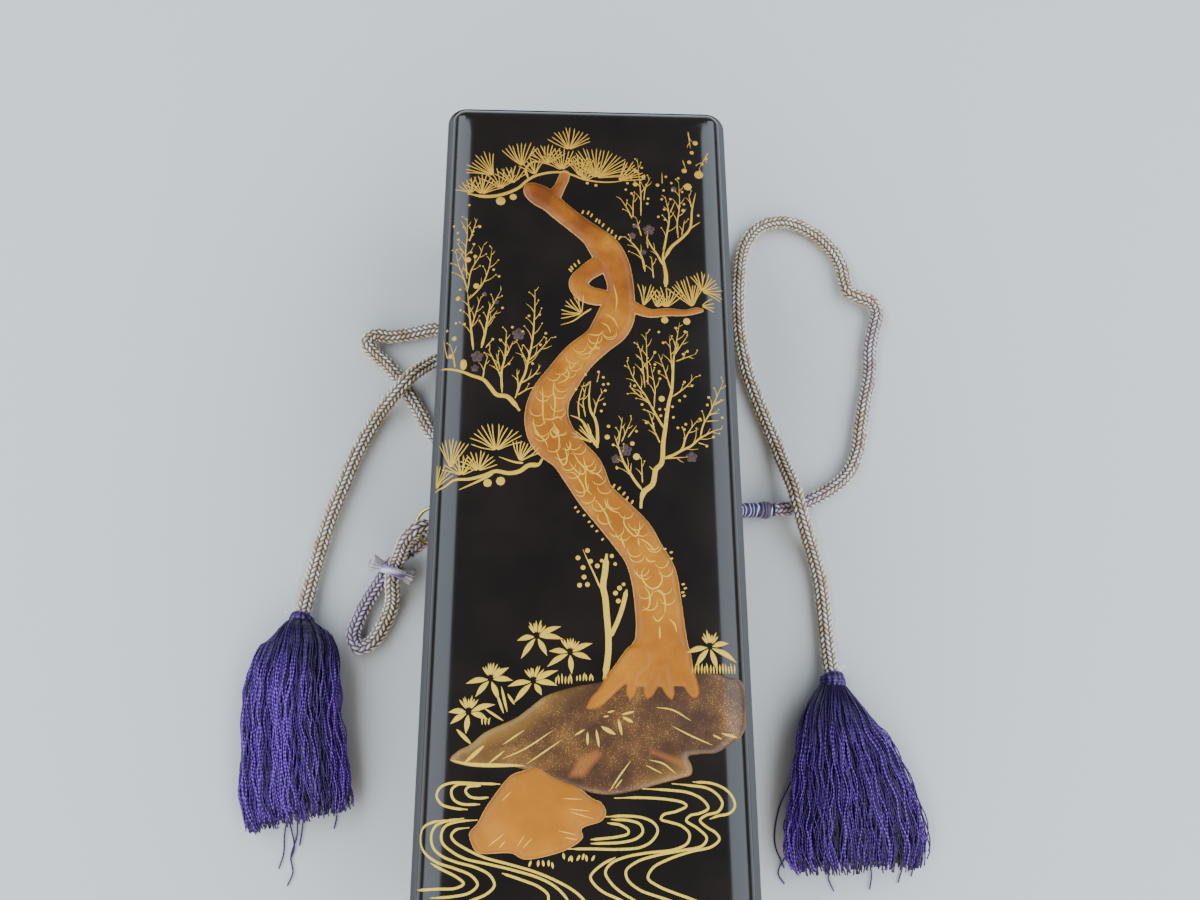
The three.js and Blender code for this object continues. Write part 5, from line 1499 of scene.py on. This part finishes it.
# %% [markdown]
# ## Whippings
# Where a cord starts, its end is folded to a small eye that holds the ring, and the whole is
# bound tightly with violet thread. Pale strands show between the turns, slanting and never
# quite even, and the last turns are doubled to a knob that has worn tan.

# %% Whippings
WHIP_TURN = 1.9
WHIP_AROUND = 40
WHIP_RADIUS = 2.75
KNOB_RADIUS = 3.4


def whipping(name, held_angle, stops):
    """The bound end of a cord, with the thread eye that holds the ring."""
    line = smooth_line(stops, 0.2)
    walked = run_length(line)[:, None]
    around = np.arange(WHIP_AROUND)[None, :] / WHIP_AROUND
    uneven_turns = 0.16 * np.sin(walked * 1.3) + 0.07 * np.sin(2 * np.pi * around * 3 + walked)
    bulge = np.abs(np.sin(np.pi * (walked / WHIP_TURN - around + uneven_turns)))
    thread_lines = np.sin(2 * np.pi * (walked / 0.5 - around))
    radii = line[:, 3][:, None] * (0.88 + 0.14 * bulge) + 0.05 * thread_lines
    points, faces = tube(line[:, :3], radii, WHIP_AROUND)
    knob = np.clip((line[:, 3] - WHIP_RADIUS) / (KNOB_RADIUS - WHIP_RADIUS), 0, 1)[:, None]
    stripe_mark = np.clip(1.12 - 1.5 * bulge + 0.1 * thread_lines, 0, 1) * (1 - 0.6 * knob)
    tan_mark = np.broadcast_to(0.22 * knob * (0.4 + 0.6 * bulge), radii.shape)
    middle, inwards, along_wall = ring_of[name]
    a = math.radians(held_angle)
    held = middle + RING_RADIUS * (math.cos(a) * inwards + math.sin(a) * along_wall)
    wire = -math.sin(a) * inwards + math.cos(a) * along_wall
    first = np.cross(wire, [0, 0, 1.0])
    first /= np.linalg.norm(first)
    becket = hoop(held, first, np.cross(wire, first), 2.0, 0.9, 12, 40)
    points, faces = joined([(points, faces), becket])
    becket_stripe = 0.35 + 0.3 * np.sin(np.arange(len(becket[0])) * 1.7)
    return add_piece(f"whipping_thread_{name}", points, faces, striped_silk,
                     [f"whipping_{name}"],
                     marks={"stripe": np.concatenate([stripe_mark.reshape(-1), becket_stripe]),
                            "tan": np.concatenate([tan_mark.reshape(-1), 0 * becket_stripe])})


whippings = {
    "left": whipping("left", 65, [
        [-51.4, 7.5, 17.1, 1.3], [-50.4, 10.4, 15.2, 2.5], [-50.0, 14.0, 12.6, WHIP_RADIUS],
        [-50.2, 18.4, 9.3, WHIP_RADIUS], [-50.4, 20.6, 7.7, KNOB_RADIUS], [-50.5, 22.55, 6.5, 2.6]]),
    "right": whipping("right", 180, [
        [55.1, 7.0, 9.2, 1.3], [58.0, 7.9, 7.6, 2.5], [61.4, 8.7, 5.9, WHIP_RADIUS],
        [66.4, 9.2, 4.4, WHIP_RADIUS], [69.4, 9.4, 3.9, KNOB_RADIUS], [71.75, 9.55, 3.8, 2.6]]),
}

# %% [markdown]
# ## The binding of the loop
# A few fat turns of violet and white thread hold the two strands of the short loop together, and
# their cut ends stick out on both sides as short brushes that flare, like a bow tie.

# %% Binding
BINDING_LENGTH = 3.6
BINDING_THREAD = 1.15
BINDING_TURNS = 4
STUB_LENGTH = 5.5
STUB_THREADS = 80
STUB_RADIUS = 0.34
STUB_AROUND = 6
GOLDEN_TURN = 0.382
upper_strand = np.array([-67.2, -14.9, 10.5])
lower_strand = np.array([-71.2, -14.8, 4.3])
binding_along = np.array([-0.33, -0.93, -0.12])
binding_along /= np.linalg.norm(binding_along)
binding_middle = (upper_strand + lower_strand) / 2
binding_across = upper_strand - lower_strand
binding_across = binding_across - binding_along * np.dot(binding_across, binding_along)
half_span = np.linalg.norm(binding_across) / 2
binding_across /= 2 * half_span
binding_side = np.cross(binding_across, binding_along)
bore = CORD_DIAMETER / 2 + 0.35


def binding_turns():
    """Thread wound round both strands, as one long tube."""
    turn_angle = np.linspace(0, 2 * np.pi * BINDING_TURNS, 44 * BINDING_TURNS)
    out = bore + BINDING_THREAD / 2
    sideways = out * np.cos(turn_angle)
    upwards = out * np.sin(turn_angle) + half_span * np.clip(6 * np.sin(turn_angle), -1, 1)
    forwards = (turn_angle / turn_angle[-1] - 0.5) * (BINDING_LENGTH - BINDING_THREAD)
    line = (binding_middle + sideways[:, None] * binding_side + upwards[:, None] * binding_across
            + forwards[:, None] * binding_along)
    return tube(line, BINDING_THREAD / 2 * 1.1, 12)


def stub(way):
    """A flaring brush of thread ends: points and faces, how pale each thread is, and how tan its tip."""
    parts, pale, tan = [], [], []
    for number in range(STUB_THREADS):
        spin = 2 * math.pi * number * GOLDEN_TURN
        spread = math.sqrt((number + 0.5) / STUB_THREADS)
        length = STUB_LENGTH * rng.uniform(0.85, 1.0)
        places = []
        for share in (0, 0.4, 1):
            radius = spread * (1.6 + 1.5 * share)
            offset = binding_across * radius * math.cos(spin) + binding_along * radius * math.sin(spin)
            spot = binding_middle - 0.5 * binding_along + way * binding_side * (bore + length * share)
            places.append(spot + offset)
        line = smooth_line(places, 0.8)
        parts.append(tube(line, STUB_RADIUS, STUB_AROUND))
        share = np.repeat(run_length(line) / run_length(line)[-1], STUB_AROUND)
        pale.append(np.clip(0.15 + 0.65 * spread + wander(0.15) + 0.35 * share, 0, 1))
        tan.append(np.clip((share - 0.8) * 3, 0, 0.4))
    return joined(parts), np.concatenate(pale), np.concatenate(tan)


turns_part = binding_turns()
stubs = [stub(-1), stub(1)]
points, faces = joined([turns_part] + [part for part, _, _ in stubs])
turn_stripe = 0.78 + 0.22 * np.sin(np.arange(len(turns_part[0])) * 0.021)
binding_piece = add_piece(
    "binding_thread_left", points, faces, striped_silk, ["loop_binding_left"],
    marks={"stripe": np.concatenate([turn_stripe] + [pale for _, pale, _ in stubs]),
           "tan": np.concatenate([0 * turn_stripe] + [tan for _, _, tan in stubs])})

# %% [markdown]
# ## Tassels
# A tassel is a hank of several hundred twisted threads, folded over the cord's end and bound at
# the neck with a ruffled band. Lying down, the skirt flattens under its own weight. The threads
# gather in locks, and their light and shade is painted in: locks on top are painted light, sunk
# ones nearly black as painted shade, and the threads darken towards the neck as a painted shadow.
# A dark core of painted shade fills the inside, and every thread is a thin tube that follows the
# swelling of the skirt with a slow wave of its own. The ruffles of the neck are painted lighter on
# their ridges and darker in their folds. A few have strayed.

# %% Tassels
TABLE_GAP = 0.2
THREADS = 760
LOCKS = 96
THREAD_RADIUS = 0.25
THREAD_AROUND = 4
THREAD_STEPS = 28
CORE_AROUND = 28
CORE_SHARE = 0.93
NECK_AROUND = 72
NECK_SHADOW_SPAN = 3.2


def tassel(name, neck, stops, strays):
    """A tassel: ruffled neck, dark core, locks of threads and strays, with their light and shade painted in
    as the mark shade.
    """
    sections = smooth_line([[x, y, thick + TABLE_GAP, wide, thick] for x, y, wide, thick in stops], 1.0)
    walked = run_length(sections)
    ahead = np.gradient(sections[:, :3], axis=0)
    side = np.stack([ahead[:, 1], -ahead[:, 0], np.zeros(len(ahead))], 1)
    side /= np.linalg.norm(side, axis=1)[:, None]
    up = np.cross(side, ahead / np.linalg.norm(ahead, axis=1)[:, None])
    keep = int(len(sections) * CORE_SHARE)
    angle = 2 * np.pi * np.arange(CORE_AROUND) / CORE_AROUND
    share = np.linspace(0.82, 0.68, len(sections))
    core = (sections[:, None, :3]
            + side[:, None] * (sections[:, 3] * share)[:, None, None] * np.cos(angle)[:, None]
            + up[:, None] * (sections[:, 4] * share)[:, None, None] * np.sin(angle)[:, None])[:keep]
    core[..., 2] = np.maximum(core[..., 2], TABLE_GAP + 0.3)
    # painted shade: the core carries shade 0, a nearly black sheet that stands for the shade deep inside the
    # skirt
    parts = [(core.reshape(-1, 3), capped((keep, CORE_AROUND)))]
    shades, distances = [np.zeros(keep * CORE_AROUND)], [np.zeros(keep * CORE_AROUND)]
    lock_spin = 2 * np.pi * (np.arange(LOCKS) + rng.uniform(-0.3, 0.3, LOCKS)) / LOCKS
    lock_layer = rng.uniform(0.82, 1.02, LOCKS)
    lock_bend = rng.uniform(-0.1, 0.1, LOCKS)
    for number in range(THREADS):
        lock = number % LOCKS
        share = np.linspace(0, 1, THREAD_STEPS) * rng.uniform(0.9, 1.0)
        at = share * walked[-1]
        columns = [np.interp(at, walked, sections[:, k]) for k in range(5)]
        sides = np.stack([np.interp(at, walked, side[:, k]) for k in range(3)], 1)
        ups = np.stack([np.interp(at, walked, up[:, k]) for k in range(3)], 1)
        wave = rng.uniform(0, 2 * math.pi, 3)
        spin = (lock_spin[lock] + wander(0.09) + (lock_bend[lock] + wander(0.3)) * share
                + 0.10 * share * np.sin(wave[0] + share * rng.uniform(3, 7)))
        layer = lock_layer[lock] + wander(0.05)
        radius = layer + 0.03 * np.sin(wave[1] + share * rng.uniform(8, 20)) * share
        crimp = 0.55 * np.sin(wave[2] + at * rng.uniform(0.3, 0.55)) * np.minimum(share * 3, 1)
        line = (np.stack(columns[:3], 1) + sides * (columns[3] * radius * np.cos(spin) + crimp)[:, None]
                + ups * (columns[4] * radius * np.sin(spin))[:, None])
        line[:, 2] = np.maximum(line[:, 2], TABLE_GAP + THREAD_RADIUS)
        parts.append(tube(line, THREAD_RADIUS, THREAD_AROUND))
        # painted shade: threads of sunk locks darker and of top locks lighter, with a random tone; near the
        # neck each thread is darker still, a painted shadow
        shade = np.clip(0.12 + 0.6 * (layer - 0.82) / 0.2 + wander(0.28), 0.05, 0.92)
        shades.append(np.repeat(shade * (0.4 + 0.6 * np.minimum(share * NECK_SHADOW_SPAN, 1)), THREAD_AROUND))
        distances.append(np.repeat(at, THREAD_AROUND) + rng.uniform(0, 2))
    for places in strays:
        line = smooth_line(places, 1.5)
        parts.append(tube(line, THREAD_RADIUS, THREAD_AROUND))
        shades.append(np.full(len(line) * THREAD_AROUND, 0.6))
        distances.append(np.repeat(run_length(line), THREAD_AROUND))
    neck_line = smooth_line(neck, 0.3)
    ribs = 2 * np.pi * np.arange(NECK_AROUND)[None, :] / NECK_AROUND
    neck_walk = run_length(neck_line)[:, None]
    ruffle = np.sin(ribs * 13 + 0.5 * neck_walk) * 0.6 + np.sin(ribs * 21 - neck_walk) * 0.4
    parts.append(tube(neck_line[:, :3], neck_line[:, 3][:, None] * (1 + 0.08 * ruffle), NECK_AROUND))
    # painted light and shade: the ruffle is lighter on its ridges and darker in its folds
    shades.append((0.55 + 0.3 * ruffle).reshape(-1))
    distances.append(np.broadcast_to(neck_walk, ruffle.shape).reshape(-1))
    points, faces = joined(parts)
    return add_piece(f"tassel_threads_{name}", points, faces, violet_silk, [f"tassel_{name}"],
                     marks={"shade": np.concatenate(shades), "walked": np.concatenate(distances)})


tassels = {
    "left": tassel(
        "left",
        [[-99.9, -30.4, 4.6, 3.0], [-100.0, -31.0, 4.8, 3.9], [-100.1, -32.6, 4.9, 4.3],
         [-100.1, -34.4, 5.0, 4.2], [-100.1, -35.6, 5.0, 3.4]],
        [[-100.2, -33.4, 3.6, 3.5], [-100.0, -37, 7.9, 6.0], [-99.4, -41, 11.8, 7.4], [-99.9, -49, 14.5, 8.2],
         [-100.1, -57, 15.7, 8.3], [-99.8, -67, 15.8, 7.6], [-98.2, -78, 16.9, 6.8], [-96.8, -90, 17.6, 5.8],
         [-94.8, -100, 16.6, 4.6]],
        [[(-97, -94, 3), (-96.4, -104, 0.6), (-97.9, -111, 0.5), (-96.8, -116, 0.5), (-98.3, -120, 0.5)],
         [(-99, -94, 3), (-100.6, -104, 0.6), (-100.4, -110, 0.5), (-101.6, -114.7, 0.5)],
         [(-94, -94, 3), (-94.8, -102, 0.6), (-95.3, -107.6, 0.5)],
         [(-109, -90, 2), (-111.2, -98, 0.6), (-110.3, -103.9, 0.5)],
         [(-86, -92, 2), (-83.6, -98, 0.6), (-84.2, -102.3, 0.5)],
         [(-113, -58, 4), (-117.2, -68, 0.8), (-117.6, -80, 0.5), (-115.4, -90, 0.5)],
         [(-101, -94, 3), (-98.6, -102, 0.7), (-97.0, -108, 0.6), (-98.0, -112, 0.5)]]),
    "right": tassel(
        "right",
        [[89.8, -51.4, 4.6, 3.0], [89.85, -52.0, 4.8, 3.9], [89.9, -53.8, 4.9, 4.3], [89.9, -55.8, 5.0, 4.2],
         [89.85, -57.2, 5.0, 3.4]],
        [[89.9, -54.6, 3.6, 3.5], [89.7, -57.8, 5.8, 4.9], [89.2, -64, 10.3, 7], [89.4, -71, 13.8, 8],
         [91, -80, 17.8, 8], [92.4, -89, 20.4, 7.6], [93.4, -101, 23.4, 6.4], [93.6, -111, 23.6, 5.4],
         [93.8, -117, 21.5, 4.6]],
        [[(104, -72, 5), (109, -82, 1.5), (114.5, -92, 0.6), (117.8, -104, 0.5), (117, -114, 0.5)],
         [(103, -74, 5), (110.6, -88, 1.2), (115.6, -100, 0.6), (116.4, -110, 0.5), (113.4, -119, 0.5)],
         [(76, -104, 3), (70.4, -112, 0.8), (67.4, -117.6, 0.5), (69.4, -121, 0.5)],
         [(74, -86, 4), (68.8, -97, 0.8), (66.8, -108, 0.5), (69.6, -116, 0.5)],
         [(98, -110, 3), (99.6, -118, 0.8), (98.6, -123, 0.5)],
         [(86, -110, 3), (84.6, -119, 0.6), (86.2, -123.4, 0.5)],
         [(108, -104, 3), (111, -114, 0.7), (108.6, -121, 0.5)]]),
}

# %% [markdown]
# ## Floor and light
# The box stands on a pale seamless floor. Two long cool panels stand at its sides and draw a
# bright strip along each shoulder, from the far end to the near one. The top faces the dim
# ceiling between them, so that the lacquer stays dark and the gold carries the picture. A smaller
# lamp in front brightens the foot.

# %% Floor
FLOOR_HALF = 4.0
FLOOR_DROP = -0.0001

floor_paper = new_material("pale studio paper")
finished(floor_paper, {"Base Color": colour("#d9d9d6"), "Roughness": 0.9})
floor_mesh = bpy.data.meshes.new("studio_floor")
corners = [(x * FLOOR_HALF, y * FLOOR_HALF, FLOOR_DROP) for x, y in ((-1, -1), (1, -1), (1, 1), (-1, 1))]
floor_mesh.from_pydata(corners, [], [(0, 1, 2, 3)])
floor_mesh.materials.append(floor_paper)
studio_floor = bpy.data.objects.new("studio_floor", floor_mesh)
bpy.context.collection.objects.link(studio_floor)


# %% Lights
def soft_lamp(name, place, target, width, height, watts, hex_value):
    """A rectangular soft lamp that faces a point."""
    lamp = bpy.data.lights.new(name, "AREA")
    lamp.shape = "RECTANGLE"
    lamp.size, lamp.size_y = width, height
    lamp.energy = watts
    lamp.color = colour(hex_value)[:3]
    holder = bpy.data.objects.new(name, lamp)
    bpy.context.collection.objects.link(holder)
    holder.location = place
    holder.rotation_euler = (Vector(target) - Vector(place)).to_track_quat("-Z", "Y").to_euler()
    return holder


PANEL_AWAY = 0.72
PANEL_HEIGHT = 0.74
PANEL_WATTS = 30
FRONT_WATTS = 7
SKY_STRENGTH = 0.22

for name, side in (("panel_left", -1), ("panel_right", 1)):
    place = (side * PANEL_AWAY, -0.1, PANEL_HEIGHT)
    soft_lamp(name, place, (0, -0.1, 0.03), 2.6, 0.95, PANEL_WATTS, "#cfdcea")
soft_lamp("lamp_front", (0.05, -1.2, 0.7), (0, 0, 0.03), 1.0, 0.5, FRONT_WATTS, "#fff1dc")
world = bpy.data.worlds.new("studio")
bpy.context.scene.world = world
world.use_nodes = True
world.node_tree.nodes["Background"].inputs["Color"].default_value = colour("#c9d2dc")
world.node_tree.nodes["Background"].inputs["Strength"].default_value = SKY_STRENGTH
